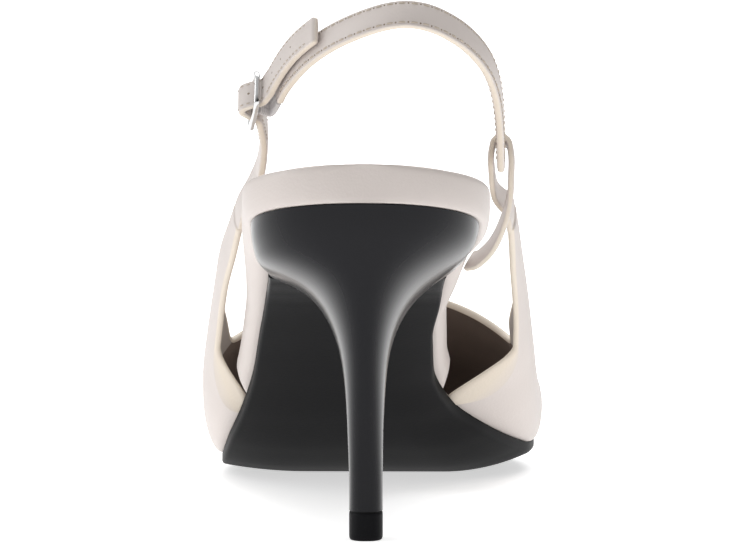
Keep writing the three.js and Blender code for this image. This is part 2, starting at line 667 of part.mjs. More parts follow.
// A ring with round corners and a round bar across its middle, in the strap's plane.
function buckleFrame() {
  const shape = roundedOutline(new THREE.Shape(), buckleLength, buckleHeight, 2 * buckleBar);
  shape.holes.push(roundedOutline(new THREE.Path(), buckleLength - 2 * buckleBar,
    buckleHeight - 2 * buckleBar, buckleBar));
  const bevel = buckleThickness / 4;
  const ring = new THREE.ExtrudeGeometry(shape, { depth: buckleThickness - 2 * bevel, curveSegments: 5,
    bevelEnabled: true, bevelThickness: bevel, bevelSize: bevel, bevelOffset: -bevel, bevelSegments: 2 });
  ring.translate(0, 0, bevel - buckleThickness / 2);
  const bar = new THREE.CylinderGeometry(centreBar / 2, centreBar / 2, buckleHeight - buckleBar, 12);
  const place = new THREE.Matrix4().makeBasis(frameRun, strapUp, frameOut.clone().negate());
  place.setPosition(buckleCentre());
  return solidOf(ring.applyMatrix4(place)).add(solidOf(bar.applyMatrix4(place)));
}

// Pin from the centre bar, through the strap and over the front bar; extra widens it for the strap's hole.
function prong(extra) {
  const reach = buckleLength / 2;
  const over = buckleThickness / 2 + 1.4 * fit + prongThickness / 2;
  const path = [inBuckle(centreBar / 2 + fit - extra, 0), inBuckle(0.42 * reach, 0.5 * over),
    inBuckle(0.8 * reach, over), inBuckle(1.02 * reach + extra, over)];
  const curve = new THREE.CatmullRomCurve3(path, false, 'centripetal');
  return band(curve, prongThickness + 2 * extra, prongThickness + 2 * extra, 8, () => strapUp);
}

function buckleStrap() {
  const wing = planePath(buckleStrapRows).points;
  const under = buckleThickness / 2 + 2.5 * fit + strapThickness / 2;
  const over = (centreBar + elasticThickness + strapThickness) / 2 + fit;
  const through = buckleWay.map((row) => inBuckle(row.run * (buckleLength - buckleBar) / 2,
    row.out * (row.out < 0 ? under : over)));
  const sling = planePath(slingRows);
  const free = freeEndRows.map((row) => {
    const side = new THREE.Vector3().crossVectors(sling.getTangentAt(row.place), strapUp).normalize();
    return sling.getPointAt(row.place).addScaledVector(side, strapThickness + row.clear * fit)
      .addScaledVector(strapUp, row.lift * strapWidth);
  });
  const curve = new THREE.CatmullRomCurve3([...wing, ...through, ...free], false, 'centripetal');
  return band(curve, strapWidth, strapThickness, 66, () => strapUp).subtract(prong(fit));
}

// The elastic leaves the sling's end in line, turns in and ends at the centre bar's inner side.
function elastic() {
  const sling = planePath(slingRows);
  const along = sling.getTangentAt(0);
  const start = sling.getPointAt(0).addScaledVector(along, -fit);
  const path = [start, start.clone().addScaledVector(along, -1.2 * elasticThickness),
    inBuckle(0.75 * elasticThickness, -2.6 * elasticThickness), inBuckle(0, -centreBar / 2 - fit)];
  const curve = new THREE.CatmullRomCurve3(path, false, 'centripetal');
  return band(curve, elasticWidth, elasticThickness, 10, () => strapUp);
}

addMesh('outsole', outsole(), black);
addMesh('footbed', footbed(), cream);
addMesh('upper', upper(), cream);
addMesh('heel', heel(), gloss);
addMesh('top_lift', topLift(), black);
addMesh('sling_strap', planeBand(slingRows, strapWidth, strapThickness, 44), cream);
addMesh('buckle_strap', buckleStrap(), cream);
addMesh('medial_loop_strap', loopStrap(), cream);
addMesh('elastic', elastic(), grey);
addMesh('buckle_frame', buckleFrame(), silver);
addMesh('buckle_prong', prong(0), silver);

export default group;
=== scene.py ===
"""Pointed toe slingback with a stiletto heel, a left shoe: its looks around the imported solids.

Lengths are in millimetres until a mesh is written. +Y runs from the heel to the toe, +X points to the
inner (medial) side and +Z points up. The origin is the centre of the top lift's walking face.
"""

import bpy
import numpy as np
from mathutils import Euler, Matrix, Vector


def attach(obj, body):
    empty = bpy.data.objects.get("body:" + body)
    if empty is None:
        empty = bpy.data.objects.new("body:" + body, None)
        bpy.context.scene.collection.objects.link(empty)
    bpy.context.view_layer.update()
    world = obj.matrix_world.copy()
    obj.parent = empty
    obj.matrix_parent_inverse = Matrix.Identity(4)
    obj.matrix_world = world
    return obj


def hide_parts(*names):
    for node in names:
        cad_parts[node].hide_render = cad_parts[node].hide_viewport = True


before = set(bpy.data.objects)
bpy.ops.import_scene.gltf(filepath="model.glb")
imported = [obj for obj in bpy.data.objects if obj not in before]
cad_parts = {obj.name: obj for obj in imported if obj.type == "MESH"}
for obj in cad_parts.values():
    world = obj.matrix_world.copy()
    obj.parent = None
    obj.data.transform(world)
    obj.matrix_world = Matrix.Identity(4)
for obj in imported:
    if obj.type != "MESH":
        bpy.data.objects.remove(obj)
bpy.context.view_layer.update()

bl_info = {
    "name": "Slingback shoe",
    "version": (1, 0, 0),
    "blender": (4, 5, 0),
    "location": "View3D > Sidebar > Shoe",
    "description": "Builds the pieces and finishes of a pointed toe slingback shoe",
    "category": "Add Mesh",
}

# Sizes of the shoe
shoe_length = 247.0
ball_width = 80.0
heel_height = 82.0
instep_height = 43.5
seat_radius = 30.0
heel_setback = 22.0
breast_reach = 72.0
toe_radius = 6.0
outsole_thickness = 2.5
footbed_thickness = 8.7
lateral_rise = 2.0
medial_rise = 5.0
fit = 0.3
flat_share = 0.45
heel_width = 27.4
stem_width = 8.0
lift_depth = 8.8
lift_height = 6.7
strap_width = 7.0
strap_thickness = 2.0
loop_width = 5.6
loop_thickness = 1.6
sling_top = 126.0
sling_slope = 0.675
sling_span = 28.5
sling_centre = 2.9
sling_reach = 50.0
elastic_width = 6.4
elastic_thickness = 1.6
buckle_length = 14.0
buckle_height = 10.9
buckle_bar = 1.6
buckle_thickness = 1.3
centre_bar = 1.2
buckle_turn = 8.3
prong_thickness = 1.1
breast = breast_reach / shoe_length
tuck_from = 0.495
tuck_to = 0.545


def table(columns, *rows):
    """Rows of shares under named columns."""
    return dict(zip(columns.split(), np.array(rows, float).T))


bottom_rows = table(
    "along height lateral medial flare rise thick",
    (0.000, 1.000, 0.340, 0.338, 0.025, 0.0, 1.00),
    (0.090, 0.929, 0.343, 0.341, 0.025, 0.0, 1.00),
    (0.190, 0.838, 0.340, 0.328, 0.036, 0.0, 1.00),
    (0.250, 0.775, 0.322, 0.280, 0.060, 0.0, 0.98),
    (0.292, 0.728, 0.306, 0.231, 0.078, 0.0, 0.97),
    (0.356, 0.612, 0.321, 0.208, 0.060, 0.1, 0.93),
    (0.413, 0.489, 0.344, 0.184, 0.042, 0.2, 0.87),
    (0.474, 0.348, 0.369, 0.185, 0.040, 0.4, 0.78),
    (0.534, 0.212, 0.411, 0.236, 0.034, 0.6, 0.66),
    (0.595, 0.098, 0.456, 0.350, 0.020, 0.8, 0.50),
    (0.656, 0.023, 0.480, 0.440, 0.012, 1.0, 0.38),
    (0.700, 0.000, 0.487, 0.480, 0.010, 1.0, 0.33),
    (0.740, 0.000, 0.482, 0.490, 0.010, 1.0, 0.31),
    (0.820, 0.000, 0.410, 0.437, 0.010, 0.8, 0.30),
    (0.880, 0.012, 0.305, 0.352, 0.008, 0.6, 0.30),
    (0.940, 0.042, 0.172, 0.238, 0.006, 0.4, 0.30),
    (0.980, 0.070, 0.064, 0.134, 0.004, 0.2, 0.30),
    (1.000, 0.086, 0.020, 0.090, 0.004, 0.1, 0.30),
)
last_rows = table(
    "along lateral medial belly crest",
    (0.300, 0.395, 0.432, 0.34, 1.45),
    (0.356, 0.430, 0.447, 0.35, 1.38),
    (0.413, 0.466, 0.460, 0.37, 1.28),
    (0.474, 0.493, 0.477, 0.38, 1.16),
    (0.534, 0.518, 0.490, 0.38, 1.08),
    (0.595, 0.537, 0.501, 0.35, 1.02),
    (0.656, 0.541, 0.511, 0.33, 1.00),
    (0.700, 0.537, 0.516, 0.32, 0.99),
    (0.740, 0.523, 0.513, 0.30, 0.91),
    (0.800, 0.465, 0.480, 0.28, 0.76),
    (0.860, 0.372, 0.408, 0.24, 0.60),
    (0.920, 0.244, 0.300, 0.19, 0.44),
    (0.965, 0.128, 0.196, 0.14, 0.31),
    (1.000, 0.036, 0.108, 0.09, 0.20),
)
topline_rows = table(
    "along height",
    (0.706, 0.640), (0.700, 0.548), (0.684, 0.462), (0.664, 0.428), (0.636, 0.440),
    (0.595, 0.495), (0.534, 0.590), (0.454, 0.708), (0.393, 0.807),
)
cutaway_rows = table(
    "along height",
    (0.556, 0.120), (0.546, 0.250), (0.519, 0.365), (0.480, 0.470), (0.421, 0.612), (0.362, 0.738),
)
heel_rows = table(
    "back_y back_z front_y front_z full lateral medial front_lateral front_medial",
    (0.014, 1.040, 1.000, 0.780, 0.42, 1.000, 0.985, 0.894, 0.675),
    (0.018, 0.975, 1.000, 0.720, 0.42, 0.996, 0.960, 0.885, 0.665),
    (0.026, 0.910, 0.992, 0.700, 0.45, 0.970, 0.880, 0.850, 0.640),
    (0.047, 0.845, 0.945, 0.688, 0.52, 0.880, 0.720, 0.730, 0.560),
    (0.072, 0.782, 0.850, 0.662, 0.65, 0.610, 0.520, 0.520, 0.440),
    (0.106, 0.702, 0.715, 0.624, 0.75, 0.405, 0.355, 0.385, 0.335),
    (0.143, 0.614, 0.600, 0.575, 0.75, 0.292, 0.255, 0.280, 0.242),
    (0.177, 0.520, 0.510, 0.516, 0.70, 0.222, 0.196, 0.212, 0.187),
    (0.207, 0.416, 0.440, 0.430, 0.65, 0.182, 0.166, 0.172, 0.156),
    (0.230, 0.290, 0.396, 0.300, 0.62, 0.159, 0.150, 0.150, 0.141),
)
sling_rows = table(
    "across along",
    (-0.825, 0.605), (-0.786, 0.535), (-0.700, 0.430), (-0.560, 0.300), (-0.350, 0.170),
    (-0.100, 0.068), (0.100, 0.014), (0.260, 0.000), (0.440, 0.030), (0.655, 0.130),
    (0.800, 0.245), (0.905, 0.380), (0.970, 0.550), (1.000, 0.760), (1.010, 1.150),
)
buckle_strap_rows = table(
    "across along",
    (-1.200, 1.600), (-1.108, 1.400), (-1.016, 1.210), (-0.978, 1.030), (-0.972, 0.930),
)

# The strap's way under the front bar, over the centre bar and under the rear bar
buckle_way = table(
    "run out",
    (1.10, -1.00), (0.70, -0.66), (0.38, 0.42), (0.13, 0.97),
    (-0.13, 0.97), (-0.38, 0.42), (-0.70, -0.66), (-1.10, -1.00),
)

# The strap's free end along the sling's outer side
free_end_rows = table(
    "place clear lift",
    (0.024, 2.6, 0.09), (0.064, 1.6, 0.23), (0.112, 1.4, 0.33), (0.160, 1.6, 0.35), (0.206, 2.2, 0.36),
)
loop_rows = table(
    "across along height turn",
    (0.811, 1.586, 0.752, 30), (0.933, 1.480, 0.799, 34), (1.028, 1.370, 0.872, 36), (1.084, 1.280, 0.951, 31),
    (1.095, 1.226, 1.018, 22), (1.095, 1.196, 1.080, 10), (1.072, 1.200, 1.110, -25), (1.010, 1.205, 1.121, -34),
    (0.948, 1.200, 1.110, -25), (0.925, 1.196, 1.080, 10), (0.930, 1.250, 1.030, 40), (0.944, 1.345, 0.981, 52),
    (0.980, 1.445, 0.937, 56), (1.050, 1.530, 0.904, 56), (1.098, 1.598, 0.877, 56),
)

loop_foot = {"along": 0.334, "height": 0.742, "turn": 28}
buckle_at = {"across": -1.042, "along": 0.674}
wing_end_along = 1.606


# Curves and readings

def reading(rows, column, place, key="along"):
    """A table's column between its rows: cubics whose slope at a row is the harmonic mean of the
    slopes on both sides of it, and level where those have different signs."""
    xs, ys = rows[key], rows[column]
    slope = np.diff(ys) / np.diff(xs)
    product = slope[:-1] * slope[1:]
    total = slope[:-1] + slope[1:]
    inner = np.where(product > 0, 2 * product / np.where(product > 0, total, 1), 0)
    tangent = np.concatenate([slope[:1], inner, slope[-1:]])
    row = np.clip(np.searchsorted(xs, place, side="right") - 1, 0, len(xs) - 2)
    span = xs[row + 1] - xs[row]
    t = np.clip((place - xs[row]) / span, 0, 1)
    start = (1 + 2 * t) * (1 - t) ** 2 * ys[row] + t * (1 - t) ** 2 * span * tangent[row]
    return start + t * t * (3 - 2 * t) * ys[row + 1] - t * t * (1 - t) * span * tangent[row + 1]


def smooth_rows(xs, values, places):
    """Natural cubic spline through rows of values: the second derivatives solve one linear system."""
    h = np.diff(xs)
    count = len(xs)
    system = np.eye(count)
    right = np.zeros((count,) + values.shape[1:])
    inner = np.arange(1, count - 1)
    system[inner, inner - 1] = h[:-1]
    system[inner, inner] = 2 * (h[:-1] + h[1:])
    system[inner, inner + 1] = h[1:]
    steps = np.diff(values, axis=0) / h[:, None]
    right[1:-1] = 6 * np.diff(steps, axis=0)
    bend = np.linalg.solve(system, right)
    row = np.clip(np.searchsorted(xs, places, side="right") - 1, 0, count - 2)
    a = ((xs[row + 1] - places) / h[row])[:, None]
    b = 1 - a
    square = (h[row] ** 2 / 6)[:, None]
    curve = (a ** 3 - a) * bend[row] + (b ** 3 - b) * bend[row + 1]
    return a * values[row] + b * values[row + 1] + square * curve


def through(corners, per_span=24):
    """Centripetal Catmull-Rom curve through corners: on each span a cubic whose end tangents come from
    the neighbouring corners, weighted with the square roots of their distances."""
    p = np.vstack([2 * corners[0] - corners[1], corners, 2 * corners[-1] - corners[-2]])
    d = np.linalg.norm(np.diff(p, axis=0), axis=1)[:, None] ** 0.5
    d0, d1, d2 = d[:-2], d[1:-1], d[2:]
    p0, p1, p2, p3 = p[:-3], p[1:-2], p[2:-1], p[3:]
    start = ((p1 - p0) / d0 - (p2 - p0) / (d0 + d1) + (p2 - p1) / d1) * d1
    end = ((p2 - p1) / d1 - (p3 - p1) / (d1 + d2) + (p3 - p2) / d2) * d1
    t = (np.arange(per_span) / per_span)[:, None, None]
    inside = (p1 + start * t + (3 * (p2 - p1) - 2 * start - end) * t ** 2
              + (2 * (p1 - p2) + start + end) * t ** 3)
    return np.vstack([inside.transpose(1, 0, 2).reshape(-1, corners.shape[1]), corners[-1:]])


def lengths_along(line):
    """Running length of a line from its first corner."""
    return np.concatenate([[0], np.cumsum(np.linalg.norm(np.diff(line, axis=0), axis=1))])


def evenly(line, count, values=None):
    """A line, and values given at its corners, read again at count places of equal spacing."""
    run = lengths_along(line)
    places = np.linspace(0, run[-1], count)
    picked = np.stack([np.interp(places, run, column) for column in line.T], axis=1)
    if values is None:
        return picked
    return picked, np.interp(places, run, values)


def unit(vectors):
    """Vectors of length one."""
    return vectors / np.maximum(np.linalg.norm(vectors, axis=-1, keepdims=True), 1e-9)


def lengthwise(along):
    """Place on Y of a share of the shoe's length."""
    return along * shoe_length - heel_setback


# The shoe's bottom

def round_end(distance, radius):
    """Share of the full width left at a distance from a round end: the height of a circle."""
    return np.sqrt(1 - (1 - np.clip(distance / radius, 0, 1)) ** 2)


def board_height(along):
    """Underside of the footbed along the middle of the shoe."""
    tread = outsole_thickness + fit
    return tread + (heel_height - tread) * reading(bottom_rows, "height", along)


def bottom_reach(along, inset):
    """Middle and half width of the bottom's outline, moved in by an inset and rounded at both ends."""
    lateral = reading(bottom_rows, "lateral", along) * ball_width
    medial = reading(bottom_rows, "medial", along) * ball_width
    start = inset / shoe_length
    share = (round_end((along - start) * shoe_length, seat_radius)
             * round_end((1 - start - along) * shoe_length, toe_radius))
    return (medial - lateral) / 2, np.maximum(((medial + lateral) / 2 - inset) * share, 0.05)


def flare_at(along):
    """Overhang of the footbed's top edge past its underside."""
    return reading(bottom_rows, "flare", along) * ball_width


def rise_at(along, x):
    """Height that the bottom gains towards its edges: nothing over the flat share, then a square."""
    middle, half = bottom_reach(along, 0)
    outer = np.clip((np.abs(x - middle) / np.maximum(half, 1) - flat_share) / (1 - flat_share), 0, 1.2)
    rise = np.where(x < middle, lateral_rise, medial_rise)
    return reading(bottom_rows, "rise", along) * rise * outer ** 2


def upright(along):
    """Steepness of the bottom, which thins a plate measured upright."""
    step = 0.002
    climb = (board_height(np.maximum(along - step, 0)) - board_height(np.minimum(along + step, 1)))
    return np.hypot(1, climb / (2 * step * shoe_length))


def tuck(along):
    """Share by which the footbed is drawn in where the upper wraps round its edge: a smooth step."""
    t = np.clip((along - tuck_from) / (tuck_to - tuck_from), 0, 1)
    return t * t * (3 - 2 * t)


def stations(start, end, step=1.6, ends=16):
    """Places along the shoe: even steps between, and even turns round the seat's and the toe's arcs."""
    turn = 1 - np.cos(np.linspace(0, np.pi / 2, ends + 1))
    first = seat_radius / shoe_length * turn if start <= 0 else np.array([start])
    last = 1 - toe_radius / shoe_length * turn[::-1] if end >= 1 else np.array([end])
    count = int((last[0] - first[-1]) * shoe_length / step)
    return np.concatenate([first, np.linspace(first[-1], last[0], count + 1)[1:-1], last])


# Meshes

def grid_faces(rows, columns, closed=False, start=0):
    """Squares between the corners of a grid that is stored row by row."""
    row, column = np.meshgrid(np.arange(rows - 1), np.arange(columns if closed else columns - 1), indexing="ij")
    here = start + row * columns + column
    beside = start + row * columns + (column + 1) % columns
    return np.stack([here, beside, beside + columns, here + columns], axis=-1).reshape(-1, 4)


def fan(loop, hub, turned):
    """Triangles from a hub to a closed loop of corner numbers."""
    after = np.roll(loop, -1)
    first, second = (after, loop) if turned else (loop, after)
    return np.stack([np.full(len(loop), hub), first, second], axis=1)


def skin(loops):
    """A tube through loops of corners, closed by a fan at each end: corners, squares and triangles."""
    rows, columns = loops.shape[:2]
    corners = np.vstack([loops.reshape(-1, 3), loops[0].mean(axis=0), loops[-1].mean(axis=0)])
    squares = grid_faces(rows, columns, closed=True)
    size = rows * columns
    first = fan(np.arange(columns), size, True)
    last = fan(np.arange(columns) + size - columns, size + 1, False)
    return corners, squares, np.vstack([first, last])


def turned_inside_out(corners, squares, triangles):
    """Whether the faces of a closed skin point inwards: its volume comes out negative."""
    both = np.vstack([squares[:, [0, 1, 2]], squares[:, [0, 2, 3]], triangles])
    a, b, c = (corners[both[:, side]] for side in range(3))
    return np.einsum("ij,ij->i", a, np.cross(b, c)).sum() < 0


def make_piece(name, shape, materials, replaces=(), slots=None, values=None, sharp=None):
    """Puts corners, squares and triangles in millimetres into a mesh, with its finishes."""
    corners, squares, triangles = shape
    if turned_inside_out(corners, squares, triangles):
        squares, triangles = squares[:, ::-1], triangles[:, ::-1]
    mesh = bpy.data.meshes.new(name)
    mesh.from_pydata((corners * 0.001).tolist(), [], squares.tolist() + triangles.tolist())
    mesh.polygons.foreach_set("use_smooth", np.ones(len(mesh.polygons), bool))
    if sharp:
        mesh.set_sharp_from_angle(angle=np.radians(sharp))
    for material in materials:
        mesh.materials.append(material)
    if slots is not None:
        mesh.polygons.foreach_set("material_index", slots.astype(np.int32))
    for label, numbers in (values or {}).items():
        mesh.attributes.new(label, "FLOAT", "POINT").data.foreach_set("value", numbers.astype(np.float32))
    mesh.validate()
    mesh.update()
    piece = bpy.data.objects.new(name, mesh)
    bpy.context.scene.collection.objects.link(piece)
    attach(piece, "root")
    if replaces:
        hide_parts(*replaces)
    return piece


# Shapes of the shoe

strap_up = unit(np.array([0.0, sling_slope, 1.0]))
strap_run = unit(np.array([0.0, 1.0, -sling_slope]))
outwards = np.array([-1.0, 0.0, 0.0])


def in_plane(x, y):
    """Place in the sling's sloping plane."""
    return np.stack(np.broadcast_arrays(x, y, sling_top - sling_slope * (y + heel_setback)), axis=-1)


def plane_path(rows):
    """Curve through a strap's rows in the sling's plane."""
    return through(in_plane(sling_centre + rows["across"] * sling_span,
                            rows["along"] * sling_reach - heel_setback))


def ring_sizes(along, way):
    """Sizes of the last's ring on one side: an ellipse's quarter from the feather edge up to the widest
    place and another up to the ridge, both drawn in towards the toe's round end."""
    middle, half = bottom_reach(along, 0)
    full = (reading(bottom_rows, "lateral", along) + reading(bottom_rows, "medial", along)) * ball_width / 2
    narrow = half / full
    nose = np.sqrt(narrow)
    belly = reading(last_rows, "belly", along) * instep_height * nose
    crest = reading(last_rows, "crest", along) * instep_height * nose
    wide = np.where(way < 0, reading(last_rows, "lateral", along), reading(last_rows, "medial", along))
    inset_middle, inset_half = bottom_reach(along, fit)
    edge = inset_middle + way * inset_half
    bulge = np.maximum((wide * ball_width - way * middle) * narrow - way * (edge - middle), 0.4)
    return {"middle": middle, "belly": belly, "crest": crest, "edge": edge, "bulge": bulge,
            "foot": rise_at(along, edge), "base": board_height(along)}


def last_point(along, turn, way):
    """Place on the last: turn 0 is the feather edge, 1 the widest place and 2 the ridge."""
    ring = ring_sizes(along, way)
    low = np.clip(turn, 0, 1) * np.pi / 2
    high = np.clip(turn - 1, 0, 1) * np.pi / 2
    side = ring["edge"] + way * ring["bulge"]
    low_x = ring["edge"] + way * ring["bulge"] * np.sin(low)
    low_z = ring["foot"] + (ring["belly"] - ring["foot"]) * (1 - np.cos(low))
    high_x = ring["middle"] + (side - ring["middle"]) * np.cos(high)
    high_z = ring["belly"] + np.maximum(ring["crest"] - ring["belly"], 0.3) * np.sin(high)
    x = np.where(turn < 1, low_x, high_x)
    z = ring["base"] + np.where(turn < 1, low_z, high_z)
    return np.stack([x, lengthwise(along), z], axis=-1)


def turn_at(along, z, way):
    """Turn at which the last's ring has a height."""
    ring = ring_sizes(along, way)
    up = z - ring["base"]
    low = np.arccos(np.clip(1 - (up - ring["foot"]) / (ring["belly"] - ring["foot"]), -1, 1))
    high = np.arcsin(np.clip((up - ring["belly"]) / (ring["crest"] - ring["belly"]), 0, 1))
    return np.where(up < ring["belly"], low, high + np.pi / 2) / (np.pi / 2)


def side_line(rows, end, per_span=60):
    """Even Catmull-Rom curve in the side view through rows of along and height and one more corner."""
    corners = np.stack([lengthwise(rows["along"]), rows["height"] * heel_height], axis=1)
    corners = np.vstack([corners, end[1:]])
    p = np.vstack([corners[:1], corners, corners[-1:]])
    start, end_slope = (p[2:-1] - p[:-3]) / 2, (p[3:] - p[1:-2]) / 2
    p1, p2 = p[1:-2], p[2:-1]
    t = (np.arange(per_span) / per_span)[:, None, None]
    inside = (p1 + start * t + (3 * (p2 - p1) - 2 * start - end_slope) * t ** 2
              + (2 * (p1 - p2) + start + end_slope) * t ** 3)
    return np.vstack([inside.transpose(1, 0, 2).reshape(-1, 2), corners[-1:]])


def on_last(line, way):
    """Along and turn of a side view line laid on the last."""
    along = (line[:, 0] + heel_setback) / shoe_length
    return np.stack([along, turn_at(along, line[:, 1], way)], axis=1)


def respaced(places, way, counts, marks):
    """Along and turn pairs spaced evenly on the surface between marks, which are values of along."""
    run = lengths_along(last_point(places[:, 0], places[:, 1], way))
    stops = [0.0] + [float(np.interp(mark, places[:, 0], run)) for mark in marks] + [run[-1]]
    at = np.concatenate([np.linspace(a, b, count, endpoint=False)
                         for a, b, count in zip(stops[:-1], stops[1:], counts)] + [[stops[-1]]])
    return np.stack([np.interp(at, run, places[:, 0]), np.interp(at, run, places[:, 1])], axis=1)


def wing_lines(way):
    """Top edge and lower edge of one side of the upper, from the wing's end to the toe, in step."""
    wing_end = in_plane(0.0, wing_end_along * sling_reach - heel_setback)
    half = strap_up * (strap_width / 2 + 0.1)
    top = on_last(side_line(topline_rows, wing_end + half), way)[::-1]
    top = top[:int(np.argmax(top[:, 1] > 1.9999)) + 1]
    cut = on_last(side_line(cutaway_rows, wing_end - half), way)[::-1]
    cut = cut[:int(np.argmax(cut[:, 1] < 0.0001)) + 1]
    feather = np.linspace(cut[-1, 0], 1, 400)[1:]
    lower = np.vstack([cut, np.stack([feather, 0 * feather], axis=1)])
    upper_line = respaced(top, way, (70, 40, 44, 20), (0.575, 0.664, 0.690))
    lower_line = respaced(lower, way, (70, 40, 44), (cut[-1, 0], 0.70))
    tip = np.stack([np.ones(20), np.linspace(0, 2, 21)[1:]], axis=1)
    return upper_line, np.vstack([lower_line, tip])


def upper_shape():
    """The upper's wall. Lines run down from the topline to the feather edge or the cut-away, and step
    from the lateral wing's end round the throat to the medial one. Each carries a closed loop: outer
    face, lower edge, inner face one wall further in, and a half round top edge."""
    wall = bpy.context.scene.shoe_sizes.wall
    across, edge_steps = 30, 7
    lateral_top, lateral_low = wing_lines(-1.0)
    medial_top, medial_low = wing_lines(1.0)
    ways = np.concatenate([-np.ones(len(lateral_top)), np.ones(len(medial_top) - 1)])[:, None]
    first = np.vstack([lateral_top, medial_top[-2::-1]])
    last = np.vstack([lateral_low, medial_low[-2::-1]])
    share = np.linspace(0, 1, across)
    share = 0.5 * share + 0.25 * (1 - np.cos(np.pi * share))

    def surface(q):
        place = first[:, None] + (last - first)[:, None] * q[..., None]
        return last_point(place[..., 0], place[..., 1], ways)

    tiny = 0.01
    ones = np.ones((len(ways), 1))
    top_speed = np.linalg.norm(surface(tiny * ones) - surface(0 * ones), axis=-1) / tiny
    low_speed = np.linalg.norm(surface(ones) - surface((1 - tiny) * ones), axis=-1) / tiny
    folded = tuck(last[:, :1])
    start = wall / 2 / np.maximum(top_speed, wall)
    end = 1 - wall / 2 / np.maximum(low_speed, wall) * (1 - folded)
    outer = surface(start + (end - start) * share[None])
    down = unit(np.gradient(outer, axis=1))
    normal = unit(np.cross(np.gradient(outer, axis=0), down))
    pinched = np.linalg.norm(np.gradient(outer, axis=0), axis=-1)[:, -1] < 0.02
    normal[pinched, -1] = normal[pinched, -2]
    inner = outer - normal * wall
    angle = np.linspace(0, np.pi, edge_steps + 2)[1:-1][None, :, None]

    def half_round(at, outward):
        centre = (outer[:, at] - normal[:, at] * wall / 2)[:, None]
        return centre + wall / 2 * (np.cos(angle) * normal[:, None, at] + np.sin(angle) * outward[:, None])

    low_edge = half_round(-1, down[:, -1])
    inside = np.minimum(last[:, 0], 1 - 3.4 / shoe_length)
    middle, half = bottom_reach(inside, 3.0)
    x = middle + ways[:, 0] * half
    under = np.stack([x, lengthwise(inside), board_height(inside) + rise_at(inside, x) + 0.2], axis=1)
    over = under + [0, 0, 0.9]
    step = np.linspace(0, 1, edge_steps + 2)[1:-1][None, :, None]
    stops = [outer[:, -1], under, over, inner[:, -1]]
    along = step * 3
    folded_edge = sum(stop[:, None] * np.clip(1 - np.abs(along - place), 0, 1)
                      for place, stop in enumerate(stops))
    low_edge = low_edge + (folded_edge - low_edge) * folded[..., None]
    top_edge = half_round(0, -down[:, 0])[:, ::-1]
    loops = np.concatenate([outer, low_edge, inner[:, ::-1], top_edge], axis=1)
    shape = skin(loops)
    columns = loops.shape[1]
    lined = np.zeros(columns, bool)
    lined[across + edge_steps:2 * across + edge_steps - 1] = True
    slots = np.concatenate([np.tile(lined, len(loops) - 1), np.zeros(2 * columns, bool)])
    warm = np.zeros(columns)
    warm[2 * across + edge_steps - 1:] = 1
    warm[[0, across - 1]] = 0.4
    warm[across:across + edge_steps] = 1
    warm = np.concatenate([np.tile(warm, len(loops)), [1, 1]])
    return shape, slots, {"edge": warm}


def footbed_shape():
    """The footbed's loops: a flat underside, a side that swells out by the flare like the quarter of an
    ellipse, a round shoulder and a gently crowned top."""
    toe_end = 1 - (1.3 * 1.8 + 2 * fit) / shoe_length
    along = stations(0, toe_end)[:, None]
    pull = tuck(along)
    middle, half = bottom_reach(along, pull * (1.8 + 4 * fit))
    flare = flare_at(along) * (1 - pull)
    thick = reading(bottom_rows, "thick", along) * footbed_thickness
    share = np.linspace(-1, 1, 33)[None]
    x = middle + share * half
    base = board_height(along)
    under = [x, base + rise_at(along, x)]
    angle = np.linspace(0, np.pi / 2, 10)[None, 1:]
    shoulder = np.minimum(1.2, 0.3 * half)

    def side(way):
        edge = middle + way * half
        out = edge + way * flare * np.sin(angle)
        foot = base + rise_at(along, edge)
        up = foot + (0.9 * thick - shoulder * 0.6) * (1 - np.cos(angle))
        bend = np.linspace(0, np.pi / 2, 7)[None, 1:]
        last_out = out[:, -1:] - way * shoulder * (1 - np.cos(bend))
        top = base + rise_at(along, edge) * 0.5 + thick
        last_up = up[:, -1:] + (top - up[:, -1:]) * np.sin(bend)
        return np.hstack([out, last_out]), np.hstack([up, last_up])

    medial_x, medial_z = side(1.0)
    lateral_x, lateral_z = side(-1.0)
    run = np.linspace(0, 1, 26)[None, 1:-1]
    top_x = medial_x[:, -1:] + (lateral_x[:, -1:] - medial_x[:, -1:]) * run
    flat = medial_z[:, -1:] + (lateral_z[:, -1:] - medial_z[:, -1:]) * run
    crown = base + thick + rise_at(along, top_x) * 0.5
    blend = np.sin(np.pi * run) ** 0.5
    top_z = flat + (crown - flat) * blend
    xs = np.hstack([under[0], medial_x, top_x, lateral_x[:, ::-1]])
    zs = np.hstack([under[1], medial_z, top_z, lateral_z[:, ::-1]])
    ys = np.broadcast_to(lengthwise(along), xs.shape)
    return skin(np.stack([xs, ys, zs], axis=-1))


